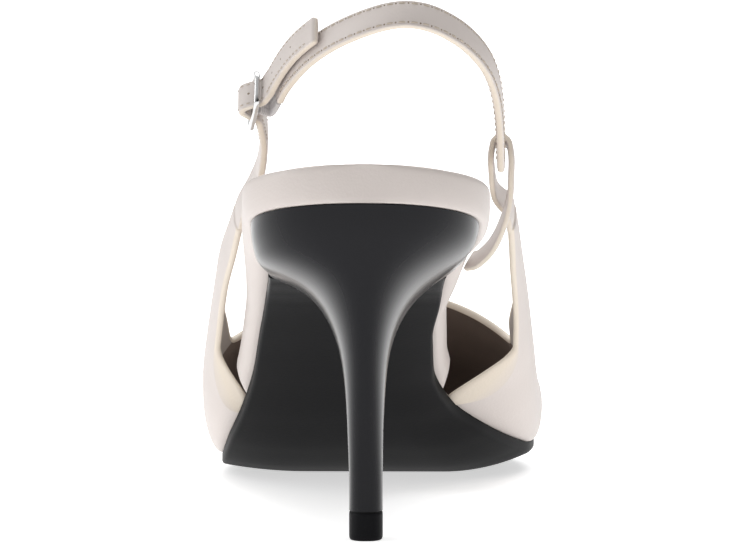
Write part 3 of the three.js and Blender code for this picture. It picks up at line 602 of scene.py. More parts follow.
def insock_shape():
    """The insock: a thin sheet that follows the footbed's top a little inside its edge."""
    start, end = 1.6 / shoe_length, 1 - 7.0 / shoe_length
    along = stations(start, end)
    arc = 1.6 / shoe_length + seat_radius / shoe_length * (1 - np.cos(np.linspace(0, np.pi / 2, 20)))
    along = np.concatenate([arc, along[along > arc[-1] + 0.004]])[:, None]
    pull = tuck(along)
    inset = 1.6 + pull * (1.8 + 4 * fit)
    middle, half = bottom_reach(along, inset)
    flare = flare_at(along) * (1 - pull) * round_end((along - start) * shoe_length, 6.0)
    thick = reading(bottom_rows, "thick", along) * footbed_thickness
    share = np.linspace(-1, 1, 31)[None]
    x = middle + share * (half + flare)
    top = board_height(along) + thick + rise_at(along, x) * 0.5
    rim = np.clip((1 - np.abs(share)) * (half + flare) / 0.8, 0, 1)
    up = 0.12 + 0.38 * np.sqrt(1 - (1 - rim) ** 2)
    upper_face = np.stack([x, np.broadcast_to(lengthwise(along), x.shape), top + up], axis=-1)
    lower_face = upper_face - np.stack([0 * x, 0 * x, up + 0.25], axis=-1)
    return skin(np.concatenate([upper_face, lower_face[:, ::-1]], axis=1))


def outsole_shape():
    """The outsole's loops: underside, round edge and top, with soft wrinkles across its first stretch."""
    along = stations(breast, 1)[:, None]
    middle, half = bottom_reach(along, 0)
    thick = outsole_thickness * upright(along)
    share = np.linspace(-1, 1, 45)[None]
    soft = np.minimum(0.8, 0.4 * half)

    def level(x, drop):
        return board_height(along) - fit + rise_at(along, x) - drop

    back = np.clip(1 - (along - breast) * shoe_length / 13, 0, 1)
    low_x = middle + share * (half - soft)
    run = (along - breast) * shoe_length
    wrinkle = 0.22 * back * (np.sin(run * 2.4 + 1.3 * np.sin(low_x * 0.35))
                             + 0.6 * np.sin(run * 4.1 + low_x * 0.22))
    low_z = level(low_x, thick) + wrinkle * np.clip(run / 1.5, 0, 1)
    bend = np.linspace(0, np.pi / 2, 6)[None, 1:]
    reach = soft * np.sin(bend)
    lift = soft * (1 - np.cos(bend))
    right_x = middle + (half - soft) + reach
    left_x = middle - (half - soft) - reach
    right_z = level(right_x, thick) + lift
    left_z = level(left_x, thick) + lift
    high_x = middle - share * half
    high_z = level(high_x, 0)
    xs = np.hstack([low_x, right_x, high_x, left_x[:, ::-1]])
    zs = np.hstack([low_z, right_z, high_z, left_z[:, ::-1]])
    return skin(np.stack([xs, np.broadcast_to(lengthwise(along), xs.shape), zs], axis=-1))


def heel_section(lateral, medial, full, front_lateral, front_medial, soft):
    """Half widths and depth shares of the heel's section: a round back like a superellipse, straight
    sides to the breast and small round corners there. Each row of sizes gives one section."""
    angle = np.linspace(0, np.pi / 2, 25)[None, 1:]

    def side(reach, front):
        xs = reach * np.sin(angle) ** 0.9
        ys = full * (1 - np.maximum(np.cos(angle), 0) ** 0.9)
        turn = np.array([0.3, 0.6])[None]
        lead = np.sin(turn * np.pi / 2) * 0
        mid_x = reach + (front - reach) * turn ** 1.25 + lead
        mid_y = full + (1 - full) * turn
        corner_x, corner_y = front, 1.0
        before_x, before_y = reach + (front - reach) * (1 - soft), full + (1 - full) * (1 - soft)
        t = np.linspace(0, 1, 7)[None]
        after_x = front * (1 - soft * 0.8)
        bend_x = (1 - t) ** 2 * before_x + 2 * t * (1 - t) * corner_x + t * t * after_x
        bend_y = (1 - t) ** 2 * before_y + 2 * t * (1 - t) * corner_y + t * t * 1.0
        return np.hstack([xs, mid_x, bend_x]), np.hstack([ys, mid_y, bend_y])

    medial_x, medial_y = side(medial, front_medial)
    lateral_x, lateral_y = side(lateral, front_lateral)
    across = np.linspace(1, -1, 12)[None, 1:-1]
    near = medial_x[:, -1:]
    far = -lateral_x[:, -1:]
    front_x = near + (far - near) * (1 - across) / 2
    zero = np.zeros_like(full)
    xs = np.hstack([zero, medial_x, front_x, -lateral_x[:, ::-1]])
    ys = np.hstack([zero, medial_y, np.ones_like(front_x), lateral_y[:, ::-1]])
    return xs, ys


def stem_columns(count=1):
    """Sizes of the stem's level section, as in the heel's table but in millimetres."""
    half = stem_width / 2
    return np.tile([half, half, 0.62, 0.94 * half, 0.94 * half], (count, 1))


def heel_shape():
    """The heel: sections on planes that lean from back to front, joined by natural splines, each column
    cut where it meets the footbed's underside and closed by a cap that follows it."""
    r = heel_rows
    reach, end = breast_reach, breast_reach - fit
    rows = np.stack([r["back_y"] * reach - heel_setback, r["back_z"] * heel_height,
                     r["front_y"] * end - heel_setback, r["front_z"] * heel_height,
                     r["lateral"] * heel_width, r["medial"] * heel_width, r["full"],
                     r["front_lateral"] * heel_width, r["front_medial"] * heel_width], axis=1)
    stem = stem_columns(2)
    low = np.array([2 * lift_height, lift_height + fit])
    stem_rows = np.column_stack([[-lift_depth / 2] * 2, low, [lift_depth / 2] * 2, low, stem])
    rows = np.vstack([rows, stem_rows])[::-1]
    run = np.concatenate([[0], np.cumsum(np.hypot(np.diff(rows[:, 1]), np.diff(rows[:, 0])))])
    fine = smooth_rows(run, rows, np.linspace(0, run[-1], 420))
    soft = np.full((420, 1), 0.10)
    xs, shares = heel_section(fine[:, 4:5], fine[:, 5:6], fine[:, 6:7], fine[:, 7:8], fine[:, 8:9], soft)
    ys = fine[:, 0:1] + (fine[:, 2:3] - fine[:, 0:1]) * shares
    zs = fine[:, 1:2] + (fine[:, 3:4] - fine[:, 1:2]) * shares
    seat = board_height(np.clip((ys + heel_setback) / shoe_length, 0, 1)) - fit
    above = zs - seat
    crossing = np.argmax(above > 0, axis=0)
    before = np.take_along_axis(above, crossing[None] - 1, axis=0)[0]
    after = np.take_along_axis(above, crossing[None], axis=0)[0]
    top = crossing - 1 + before / (before - after)
    place = np.linspace(0, 1, 150)[:, None] * top[None]
    floor = np.minimum(place.astype(int), 418)
    part = place - floor

    def picked(values):
        low_value = np.take_along_axis(values, floor, axis=0)
        return low_value + part * (np.take_along_axis(values, floor + 1, axis=0) - low_value)

    loops = np.stack([picked(xs), picked(ys), picked(zs)], axis=-1)
    rim = loops[-1]
    spine = np.array([0.0, 18.0, 0.0])
    caps = []
    for share in (0.985, 0.7, 0.35, 0.05):
        ring = spine + (rim - spine) * share
        ring[:, 2] = board_height(np.clip((ring[:, 1] + heel_setback) / shoe_length, 0, 1)) - fit
        caps.append(ring)
    return skin(np.concatenate([loops, np.array(caps)]))


def top_lift_shape():
    """The top lift: the stem's section, level, with a thin neck under the groove and a soft lower edge."""
    xs, shares = heel_section(*(stem_columns()[:, [column]] for column in range(5)), np.full((1, 1), 0.12))
    drops = np.array([0.0, 0.15, 0.5, 1.0, 1.8, 3.0, 4.5, 5.6, 6.1, 6.4, 6.6, 6.7])
    pull = np.array([0.94, 0.985, 1.0, 1.0, 1.0, 1.0, 1.0, 1.0, 0.99, 0.97, 0.935, 0.88])
    loops = np.stack([xs[0][None] * pull[:, None],
                      (shares[0][None] - 0.5) * lift_depth * pull[:, None],
                      np.broadcast_to((lift_height - drops)[:, None], (len(drops), len(xs[0])))], axis=-1)
    return skin(loops)


def neck_shape():
    """The neck in the groove between heel and top lift, coloured near black as painted shade."""
    xs, shares = heel_section(*(stem_columns()[:, [column]] for column in range(5)), np.full((1, 1), 0.12))
    heights = np.array([lift_height - 0.4, lift_height + fit + 0.4])
    loops = np.stack([np.tile(xs[0] * 0.955, (2, 1)), np.tile((shares[0] - 0.5) * lift_depth * 0.955, (2, 1)),
                      np.repeat(heights[:, None], len(xs[0]), axis=1)], axis=-1)
    return skin(loops)


def strap_section(width, thickness, groove, inset, sides=52):
    """Width and thickness offsets round a strap: a superellipse, flat on its faces and round at its
    edges, with a shallow trough along each row of stitches."""
    turn = np.linspace(0, 2 * np.pi, sides, endpoint=False)
    w = width / 2 * np.sign(np.cos(turn)) * np.abs(np.cos(turn)) ** 0.2
    o = thickness / 2 * np.sign(np.sin(turn)) * np.abs(np.sin(turn)) ** 0.75
    trough = groove * np.exp(-((np.abs(w) - (width / 2 - inset)) / 0.3) ** 2)
    return w, o - np.sign(o) * np.minimum(trough, np.abs(o) * 0.5)


def frame_along(path, wide):
    """Tangent, width direction and outward direction along a path."""
    tangent = unit(np.gradient(path, axis=0))
    wide = np.broadcast_to(wide, path.shape)
    wide = unit(wide - tangent * np.sum(wide * tangent, axis=1, keepdims=True))
    return tangent, wide, np.cross(tangent, wide)


def strap_shape(path, wide, width, thickness, groove=0.12, inset=0.75, step=0.7, section=None, wing=None):
    """A strap: its section carried along a path, closing in a small arc at both ends. Its edge value
    says how close a corner lies to the cut edge. Where it meets a wing it takes the wing's size."""
    run = lengths_along(path)
    count = max(int(run[-1] / step), 8)
    near = 0.45 * thickness * (1 - np.cos(np.linspace(0, np.pi / 2, 7)))
    between = np.linspace(near[-1], run[-1] - near[-1], count)[1:-1]
    places = np.concatenate([near, between, run[-1] - near[::-1]])
    line = np.stack([np.interp(places, run, column) for column in path.T], axis=1)
    wide_rows = np.broadcast_to(wide, path.shape)
    wide = np.stack([np.interp(places, run, column) for column in wide_rows.T], axis=1)
    tangent, wide, out = frame_along(line, wide)
    w, o = section or strap_section(width, thickness, groove, inset)
    swell = round_end(np.minimum(places, run[-1] - places), 0.45 * thickness)[:, None]
    swell = np.maximum(swell, 0.03)
    ws = w[None] * (1 - (1 - swell) * 0.45 * thickness / width * 2)
    if wing is not None:
        share = np.interp(places, run, wing)[:, None]
        ws = ws * (1 + share * ((strap_width + 0.1) / width - 1))
        swell = swell * (1 + share * (bpy.context.scene.shoe_sizes.wall * 0.97 / thickness - 1))
    loops = line[:, None] + wide[:, None] * ws[..., None] + out[:, None] * (o[None] * swell)[..., None]
    shape = skin(loops)
    close = np.clip((np.abs(w) / (width / 2) - 0.93) / 0.07, 0, 1)
    warm = np.concatenate([np.maximum(close[None], np.clip(0.8 - swell, 0, 1)).ravel(), [1, 1]])
    return shape, {"edge": warm}


def stitch_places(path, wide, width, thickness, pitch, inset, faces=(1,), ends=3.0, rows=(-1, 1)):
    """Centres and directions of the stitches: even steps along the path, in rows inside its edges."""
    run = lengths_along(path)
    count = int((run[-1] - 2 * ends) / pitch)
    places = ends + pitch * np.arange(count + 1)
    centre = np.stack([np.interp(places, run, column) for column in path.T], axis=1)
    tangent, wide_at, out = frame_along(path, wide)
    pick = [np.stack([np.interp(places, run, column) for column in field.T], axis=1)
            for field in (tangent, wide_at, out)]
    spots = [(centre + pick[1] * row * (width / 2 - inset) + pick[2] * face * (thickness / 2 - 0.1),
              pick[0], pick[1], pick[2] * face) for row in rows for face in faces]
    return [np.vstack(parts) for parts in zip(*spots)]


def scattered(template, spots):
    """Copies of a small closed shape at centres, turned to their directions."""
    corners, squares, triangles = template
    centre, run, wide, out = spots
    basis = np.stack([run, wide, out], axis=1)
    placed = centre[:, None] + np.einsum("kj,njx->nkx", corners, basis)
    shift = (np.arange(len(centre)) * len(corners))[:, None, None]
    return (placed.reshape(-1, 3), (squares[None] + shift).reshape(-1, 4),
            (triangles[None] + shift).reshape(-1, 3))


def thread_template(length, radius):
    """One stitch: a round thread that rises in the middle and dips into the leather at both ends."""
    turn = np.linspace(0, 2 * np.pi, 8, endpoint=False)
    t = np.linspace(-1, 1, 9)[:, None]
    r = radius * np.sqrt(np.clip(1 - t ** 6, 0.02, 1))
    loops = np.stack([np.broadcast_to(t * length / 2, (9, 8)), r * np.cos(turn),
                      r * np.sin(turn) + 0.5 * radius - 1.2 * radius * t ** 4], axis=-1)
    return skin(loops)


def hole_template(radius, depth):
    """One needle or punched hole: a flat bead, coloured dark as painted shade for the inside of the hole, that
    shows as a round spot.
    """
    turn = np.linspace(0, 2 * np.pi, 12, endpoint=False)
    t = np.linspace(-1, 1, 5)[:, None]
    r = radius * np.sqrt(np.clip(1 - t ** 2, 0.01, 1))
    return skin(np.stack([r * np.cos(turn), r * np.sin(turn), np.broadcast_to(t * depth, (5, 12))], axis=-1))


def wing_end(way):
    """Middle of a wing's end in its wall, with the directions off the end and up along it."""
    top, low = wing_lines(way)
    edges = [last_point(line[[0, 6], 0], line[[0, 6], 1], way) for line in (top, low)]
    up = unit(edges[0][0] - edges[1][0])
    middle = (edges[0] + edges[1]) / 2
    ahead = unit(middle[0] - middle[1])
    outward = np.cross(ahead, up) * -way
    wall = bpy.context.scene.shoe_sizes.wall
    return middle[0] - unit(outward) * wall / 2, ahead, up


def from_wing(path, wide, way, reach=15.0, inside=2.5):
    """A strap's path and width direction drawn in line with a wing's end, from inside its wall, with
    the share of the wing's own width and thickness at each place."""
    middle, ahead, up = wing_end(way)
    run = lengths_along(path)[:, None]
    share = 0.5 + 0.5 * np.cos(np.pi * np.clip(run / reach, 0, 1))
    path = path + (middle + ahead * run - path) * share
    wide = unit(np.broadcast_to(wide, path.shape) * (1 - share) + up * share)
    steps = np.linspace(-inside, 0, 8)[:-1, None]
    path = np.vstack([middle + ahead * steps, path])
    wide = np.vstack([np.broadcast_to(up, (7, 3)), wide])
    return path, wide, np.concatenate([np.ones(7), share[:, 0]])


def loop_path():
    """The medial loop's curve from the footbed's edge round the ring to the wing, and its turning."""
    rear = loop_foot["along"] - loop_width / 2 / shoe_length
    middle, half = bottom_reach(np.array([rear]), 0)
    reach = float((middle + half + flare_at(np.array([rear])))[0]) + 2 * fit
    foot = [reach, lengthwise(loop_foot["along"]), loop_foot["height"] * heel_height]
    rows = np.stack([sling_centre + loop_rows["across"] * sling_span,
                     loop_rows["along"] * sling_reach - heel_setback, loop_rows["height"] * heel_height], axis=1)
    corners = np.vstack([foot, rows])
    path = through(corners)
    turns = np.concatenate([[loop_foot["turn"]], loop_rows["turn"]])
    turn = np.radians(np.interp(np.linspace(0, len(turns) - 1, len(path)), np.arange(len(turns)), turns))
    return path, np.stack([0 * turn, np.cos(turn), np.sin(turn)], axis=1)


buckle_turned = np.radians(buckle_turn)
frame_run = strap_run * np.cos(buckle_turned) + outwards * np.sin(buckle_turned)
frame_out = outwards * np.cos(buckle_turned) - strap_run * np.sin(buckle_turned)
buckle_centre = in_plane(sling_centre + buckle_at["across"] * sling_span,
                         buckle_at["along"] * sling_reach - heel_setback)


def in_buckle(run, out):
    """Points of the buckle: run towards the wing and out from the leg, from the centre bar."""
    run, out = np.asarray(run, float)[..., None], np.asarray(out, float)[..., None]
    return buckle_centre + frame_run * run + frame_out * out


def buckle_strap_path():
    """The lateral strap from the wing, through the buckle and along the sling's outer side."""
    wing = in_plane(sling_centre + buckle_strap_rows["across"] * sling_span,
                    buckle_strap_rows["along"] * sling_reach - heel_setback)
    under = buckle_thickness / 2 + 2.5 * fit + strap_thickness / 2
    over = (centre_bar + elastic_thickness + strap_thickness) / 2 + fit
    out = buckle_way["out"]
    through_bars = in_buckle(buckle_way["run"] * (buckle_length - buckle_bar) / 2,
                             out * np.where(out < 0, under, over))
    sling = plane_path(sling_rows)
    runs = lengths_along(sling)
    places = free_end_rows["place"] * runs[-1]
    spot = np.stack([np.interp(places, runs, sling[:, axis]) for axis in range(3)], axis=1)
    ahead = np.stack([np.interp(places + 0.5, runs, sling[:, axis]) for axis in range(3)], axis=1)
    side = unit(np.cross(ahead - spot, strap_up))
    free = (spot + side * (strap_thickness + free_end_rows["clear"] * fit)[:, None]
            + strap_up * (free_end_rows["lift"] * strap_width)[:, None])
    return through(np.vstack([wing, through_bars, free]))


def elastic_path():
    """The elastic from the sling's end, in line at first, then in to the centre bar's inner side."""
    sling = plane_path(sling_rows)
    along = unit(sling[1] - sling[0])
    start = sling[0] - along * fit
    return through(np.array([start, start - along * 1.2 * elastic_thickness,
                             in_buckle(0.75 * elastic_thickness, -2.6 * elastic_thickness),
                             in_buckle(0, -centre_bar / 2 - fit)]))


def elastic_section(sides=120):
    """The elastic's section: four round ribs side by side on each face."""
    turn = np.linspace(0, 2 * np.pi, sides, endpoint=False)
    w = elastic_width / 2 * np.sign(np.cos(turn)) * np.abs(np.cos(turn)) ** 0.7
    o = elastic_thickness / 2 * np.sign(np.sin(turn)) * np.abs(np.sin(turn)) ** 0.35
    rib = np.abs(np.sin(np.pi * (w / elastic_width + 0.5) * 4))
    return w, o * (0.55 + 0.45 * rib ** 0.5)


def buckle_frame_shape():
    """The buckle's frame: a flattened round bar carried round a rectangle with round corners."""
    radius = 2 * buckle_bar - buckle_bar / 2
    x, y = (buckle_length - buckle_bar) / 2 - radius, (buckle_height - buckle_bar) / 2 - radius
    turn = np.linspace(0, np.pi / 2, 12)
    corners = [(x, y, 0), (-x, y, 1), (-x, -y, 2), (x, -y, 3)]
    outline = np.vstack([np.stack([cx + radius * np.cos(turn + quarter * np.pi / 2),
                                   cy + radius * np.sin(turn + quarter * np.pi / 2)], axis=1)
                         for cx, cy, quarter in corners])
    outline = np.vstack([outline, outline[:1]])
    outline = evenly(outline, 121)[:-1]
    tangent = unit(np.roll(outline, -1, axis=0) - np.roll(outline, 1, axis=0))
    outer = np.stack([tangent[:, 1], -tangent[:, 0]], axis=1)
    side = np.linspace(0, 2 * np.pi, 24, endpoint=False)
    a = buckle_bar / 2 * np.sign(np.cos(side)) * np.abs(np.cos(side)) ** 0.6
    b = buckle_thickness / 2 * np.sign(np.sin(side)) * np.abs(np.sin(side)) ** 0.6
    flat = outline[:, None] + outer[:, None] * a[None, :, None]
    depth = np.broadcast_to(b[None], flat.shape[:2])
    loops = (buckle_centre + flat[..., :1] * frame_run + flat[..., 1:] * strap_up
             + depth[..., None] * frame_out)
    rows, columns = loops.shape[:2]
    squares = grid_faces(rows + 1, columns, closed=True) % (rows * columns)
    return loops.reshape(-1, 3), squares, np.zeros((0, 3), int)


def prong_path():
    """The prong's curve from the centre bar, through the strap and over the front bar."""
    reach = buckle_length / 2
    over = buckle_thickness / 2 + 1.4 * fit + prong_thickness / 2
    return through(in_buckle([centre_bar / 2 + fit, 0.42 * reach, 0.8 * reach, 1.02 * reach],
                             [0, 0.5 * over, over, over]))


def round_section(thickness, sides=20):
    """Section of a round bar or a pin."""
    turn = np.linspace(0, 2 * np.pi, sides, endpoint=False)
    return thickness / 2 * np.cos(turn), thickness / 2 * np.sin(turn)


def centre_bar_shape():
    """Round bar across the buckle's middle, its ends inside the frame."""
    half = (buckle_height - buckle_bar) / 2
    ends = np.array([buckle_centre - strap_up * half, buckle_centre + strap_up * half])
    return strap_shape(ends, frame_run, centre_bar, centre_bar, step=1.0, section=round_section(centre_bar))[0]


def joined(shapes):
    """Several shapes as one."""
    corners, squares, triangles, start = [], [], [], 0
    for shape in shapes:
        corners.append(shape[0])
        squares.append(shape[1].reshape(-1, 4) + start)
        triangles.append(shape[2].reshape(-1, 3) + start)
        start += len(shape[0])
    return np.vstack(corners), np.vstack(squares), np.vstack(triangles)


# Finishes

def tone(code):
    """Linear colour of a colour written as on screen, such as D9D0CC."""
    channels = np.array([int(code[at:at + 2], 16) for at in (0, 2, 4)]) / 255
    linear = np.where(channels <= 0.04045, channels / 12.92, ((channels + 0.055) / 1.055) ** 2.4)
    return tuple(float(channel) for channel in linear)


class Field:
    """A socket that takes part in sums: each operator adds one Math node."""

    def __init__(self, finish, socket):
        self.finish = finish
        self.socket = socket

    def join(self, operation, first, second):
        return self.finish.add("ShaderNodeMath", {"operation": operation}, {0: first, 1: second})

    def __add__(self, other):
        return self.join("ADD", self, other)

    def __radd__(self, other):
        return self.join("ADD", other, self)

    def __sub__(self, other):
        return self.join("SUBTRACT", self, other)

    def __rsub__(self, other):
        return self.join("SUBTRACT", other, self)

    def __mul__(self, other):
        return self.join("MULTIPLY", self, other)

    def __rmul__(self, other):
        return self.join("MULTIPLY", other, self)

    def __pow__(self, other):
        return self.join("POWER", self, other)

    def clamped(self):
        return self.finish.add("ShaderNodeClamp", {}, {"Value": self})

    def sine(self):
        return self.join("SINE", self, 0.0)


class Finish:
    """The nodes of a material or a world, whose constants are set on the shader's own sockets."""

    def __init__(self, name, library="materials", shader="Principled BSDF", **constants):
        self.material = getattr(bpy.data, library).new(name)
        self.material.use_nodes = True
        self.nodes = self.material.node_tree.nodes
        self.links = self.material.node_tree.links
        self.shader = self.nodes[shader]
        for socket, value in constants.items():
            self.set(socket.replace("_", " "), value)

    def set(self, socket, value):
        """Sets or links one socket of the shader."""
        target = self.shader.inputs[socket]
        if isinstance(value, Field):
            self.links.new(value.socket, target)
        elif isinstance(value, tuple):
            target.default_value = (*value, 1.0)
        else:
            target.default_value = value

    def add(self, kind, settings, sockets, output=0):
        """One node: its settings first, a ramp's stops among them, then its sockets."""
        node = self.nodes.new(kind)
        for name, value in settings.items():
            if name == "stops":
                for element, (place, shade) in zip(node.color_ramp.elements, value):
                    element.position = place
                    element.color = (shade, shade, shade, 1)
            else:
                setattr(node, name, value)
        for name, value in sockets.items():
            target = node.inputs[name]
            if isinstance(value, Field):
                self.links.new(value.socket, target)
            elif isinstance(value, tuple) and len(value) == 3 and len(target.default_value) == 4:
                target.default_value = (*value, 1.0)
            else:
                target.default_value = value
        return Field(self, node.outputs[output])

    def place(self):
        """Object coordinates, in metres."""
        return self.add("ShaderNodeTexCoord", {}, {}, 3)

    def axis(self, number):
        """One object coordinate in millimetres."""
        return self.add("ShaderNodeSeparateXYZ", {}, {0: self.place()}, number) * 1000.0

    def value(self, label):
        """A number kept at the mesh's corners."""
        return self.add("ShaderNodeAttribute", {"attribute_name": label}, {}, 2)

    def noise(self, per_metre, detail=2.0, roughness=0.5):
        """Cloudy noise between 0 and 1."""
        return self.add("ShaderNodeTexNoise", {}, {"Vector": self.place(), "Scale": per_metre, "Detail": detail,
                                                   "Roughness": roughness})

    def cells(self, per_metre):
        """Distance from the middle of the nearest leather cell."""
        return self.add("ShaderNodeTexVoronoi", {}, {"Vector": self.place(), "Scale": per_metre})

    def mix(self, share, first, second):
        """A colour between two colours."""
        return self.add("ShaderNodeMix", {"data_type": "RGBA"}, {0: share, 6: first, 7: second}, 2)

    def bump(self, height, distance, strength=1.0):
        """Small relief: the height times a distance in metres."""
        normal = self.add("ShaderNodeBump", {}, {"Height": height, "Distance": distance, "Strength": strength})
        self.set("Normal", normal)


def once(name, make):
    """The material of a name, made when it is first asked for."""
    return bpy.data.materials.get(name) or make(name).material


def colours():
    """The shoe's colours as plain tuples."""
    group = bpy.context.scene.shoe_colours
    return {name: tuple(getattr(group, name)) for name in group.bl_rna.properties.keys()
            if name not in ("rna_type", "name")}


def grained(finish, base, edge, depth):
    """Leather: soft clouds of tone, a warmer cut edge, fine grain and uneven gloss."""
    clouds = finish.noise(38.0, 3.0)
    fine = finish.noise(900.0, 3.0)
    grain = finish.cells(1500.0)
    paler = tuple(min(1.0, channel * 1.05) for channel in base)
    darker = tuple(channel * 0.93 for channel in base)
    surface = finish.mix(clouds, darker, paler)
    finish.set("Base Color", finish.mix((finish.value("edge") * 0.75).clamped(), surface, edge))
    finish.set("Roughness", 0.40 + clouds * 0.12 + fine * 0.08)
    finish.bump(grain * 0.6 + fine * 0.5, depth)
    return finish


def cream_leather(name):
    c = colours()
    return grained(Finish(name, Specular_IOR_Level=0.42, Coat_Weight=0.06, Coat_Roughness=0.3),
                   c["cream"], c["edge"], 0.00005)


def insock_leather(name):
    c = colours()
    return grained(Finish(name, Specular_IOR_Level=0.4), c["insock"], c["edge"], 0.00006)


def lining(name):
    """Lining: pale in the wings and dark from the vamp's seam forwards, with a short nap."""
    c = colours()
    finish = Finish(name, Specular_IOR_Level=0.25)
    forward = ((finish.axis(1) - 137.0) * 1.2).clamped()
    nap = finish.noise(1200.0, 3.0)
    cloud = finish.noise(60.0)
    pale = finish.mix(cloud, tuple(channel * 0.9 for channel in c["lining_pale"]), c["lining_pale"])
    dark = finish.mix(cloud, tuple(channel * 0.75 for channel in c["lining_dark"]), c["lining_dark"])
    finish.set("Base Color", finish.mix(forward, pale, dark))
    finish.set("Roughness", 0.72 + nap * 0.15)
    finish.bump(nap, 0.00006)
    return finish


def satin_sole(name):
    """The sole's black satin, glossier and finely creased at the breast."""
    c = colours()
    finish = Finish(name, Specular_IOR_Level=0.1)
    near = 1.0 - ((finish.axis(1) - 56.0) * 0.14).clamped()
    cloud = finish.noise(30.0, 3.0)
    fine = finish.noise(1500.0, 2.0)
    finish.set("Base Color", finish.mix(cloud, tuple(channel * 0.8 for channel in c["sole"]), c["sole"]))
    finish.set("Roughness", 0.46 + cloud * 0.1 + fine * 0.05 - near * 0.28)
    finish.bump(fine, 0.00002)
    return finish


def heel_gloss(name):
    """The heel's charcoal lacquer."""
    c = colours()
    finish = Finish(name, Specular_IOR_Level=0.09, Coat_Weight=0.14, Coat_Roughness=0.04)
    cloud = finish.noise(45.0, 2.0)
    fine = finish.noise(2500.0, 2.0)
    finish.set("Base Color", finish.mix(fine, tuple(channel * 0.8 for channel in c["heel"]), c["heel"]))
    finish.set("Roughness", 0.20 + cloud * 0.05)
    finish.bump(cloud, 0.00003, 0.4)
    return finish


def lift_rubber(name):
    c = colours()
    finish = Finish(name, Specular_IOR_Level=0.03)
    fine = finish.noise(1800.0, 3.0)
    finish.set("Base Color", finish.mix(fine, tuple(channel * 0.8 for channel in c["lift"]), c["lift"]))
    finish.set("Roughness", 0.36 + fine * 0.12)
    finish.bump(fine, 0.000004)
    return finish


# Painted shade: near black, darker than heel and top lift, for the recessed groove between them
def groove_painted_shade(name):
    finish = Finish(name, Specular_IOR_Level=0.2)
    fine = finish.noise(900.0)
    finish.set("Base Color", finish.mix(fine, (0.002, 0.002, 0.002), (0.006, 0.006, 0.006)))
    finish.set("Roughness", 0.7 + fine * 0.2)
    return finish


def thread(name):
    c = colours()
    finish = Finish(name, Specular_IOR_Level=0.3)
    twist = finish.noise(4000.0, 1.0)
    finish.set("Base Color", finish.mix(twist, tuple(channel * 0.75 for channel in c["thread"]), c["thread"]))
    finish.set("Roughness", 0.6 + twist * 0.2)
    finish.bump(twist, 0.00004)
    return finish


# Painted shade: this dark brown stands in for the shade inside the needle and punched holes
def needle_hole(name):
    c = colours()
    finish = Finish(name, Specular_IOR_Level=0.1)
    fine = finish.noise(3000.0)
    finish.set("Base Color", finish.mix(fine, tuple(channel * 0.6 for channel in c["hole"]), c["hole"]))
    finish.set("Roughness", 0.8 + fine * 0.1)
    return finish


def ribbed_elastic(name):
    """Silver grey elastic: the thread's turns run across each rib as a bump, and the colour darkens where that
    bump dips, which is painted shade; clouds of tone vary at random.
    """
    c = colours()
    finish = Finish(name, Specular_IOR_Level=0.4, Sheen_Weight=0.3)
    turns = (finish.value("run") * 12.0).sine() * 0.5 + 0.5
    cloud = finish.noise(500.0, 2.0)
    darker = tuple(channel * 0.6 for channel in c["elastic"])
    # Partly painted shade: darker in the dips between the turns; partly random clouds of tone
    finish.set("Base Color", finish.mix(turns * 0.6 + cloud * 0.4, darker, c["elastic"]))
    finish.set("Roughness", 0.5 + cloud * 0.2)
    finish.bump(turns, 0.00005)
    return finish


def polished_metal(name):
    c = colours()
    finish = Finish(name, Metallic=1.0)
    fine = finish.noise(300.0, 3.0)
    finish.set("Base Color", finish.mix(fine, tuple(channel * 0.9 for channel in c["metal"]), c["metal"]))
    finish.set("Roughness", 0.07 + fine * 0.08)
    return finish


def pale_floor(name):
    finish = Finish(name, Specular_IOR_Level=0.1, Emission_Color=(1.0, 1.0, 1.0), Emission_Strength=0.6)
    cloud = finish.noise(3.0)
    finish.set("Base Color", finish.mix(cloud, (0.93, 0.93, 0.93), (0.95, 0.95, 0.95)))
    finish.set("Roughness", 0.8 + cloud * 0.1)
    return finish


def soft_room(name):
    """The room's light: bright on the left and overhead, dim on the right and behind the camera."""
    finish = Finish(name, "worlds", "Background")
    direction = finish.add("ShaderNodeTexCoord", {}, {}, "Generated")
    axes = [finish.add("ShaderNodeSeparateXYZ", {}, {0: direction}, number) for number in range(3)]
    left = (0.0 - axes[0]).clamped()
    behind = (0.0 - axes[1]).clamped()
    level = (room_light + left * left * side_light + axes[2].clamped() * top_light - behind * dim_behind
             - axes[0].clamped() * dim_right)
    finish.set("Color", finish.add("ShaderNodeCombineXYZ", {}, {0: level, 1: level, 2: level}))
    return finish


# Where the dotted rows of the buckle strap begin, along it from the wing
free_end_from = 40.0

# Steps between the punched holes of the buckle strap
punch_pitch = 5.5

# Half widths of the needle and punched holes, how deep they show, and where the sewing stops
needle_radius = 0.22
punch_radius = 0.55
hole_depth = 0.13
stitches_from_end = 6.0

# The camera: place in metres, turns in degrees and focal length in picture widths
eye_place = (0.0485, -2.5, 0.287)
eye_tilt = 90 - 5.111
eye_turn = 1.089
focal_widths = 10625 / 740

# Light: a softbox on the left and a large one overhead
room_light = 0.56
side_light = 0.16
top_light = 0.40
dim_behind = 0.44
dim_right = 0.5
shoe_middle = (0.0, 0.05, 0.06)
lamps = (
    ("left", (-1.6, 0.1, 0.6), 0.5, 1.1, 11.0, False),
    ("overhead", (0.1, 0.9, 2.2), 2.4, 2.0, 37.0, True),
)


# Settings that a user would change

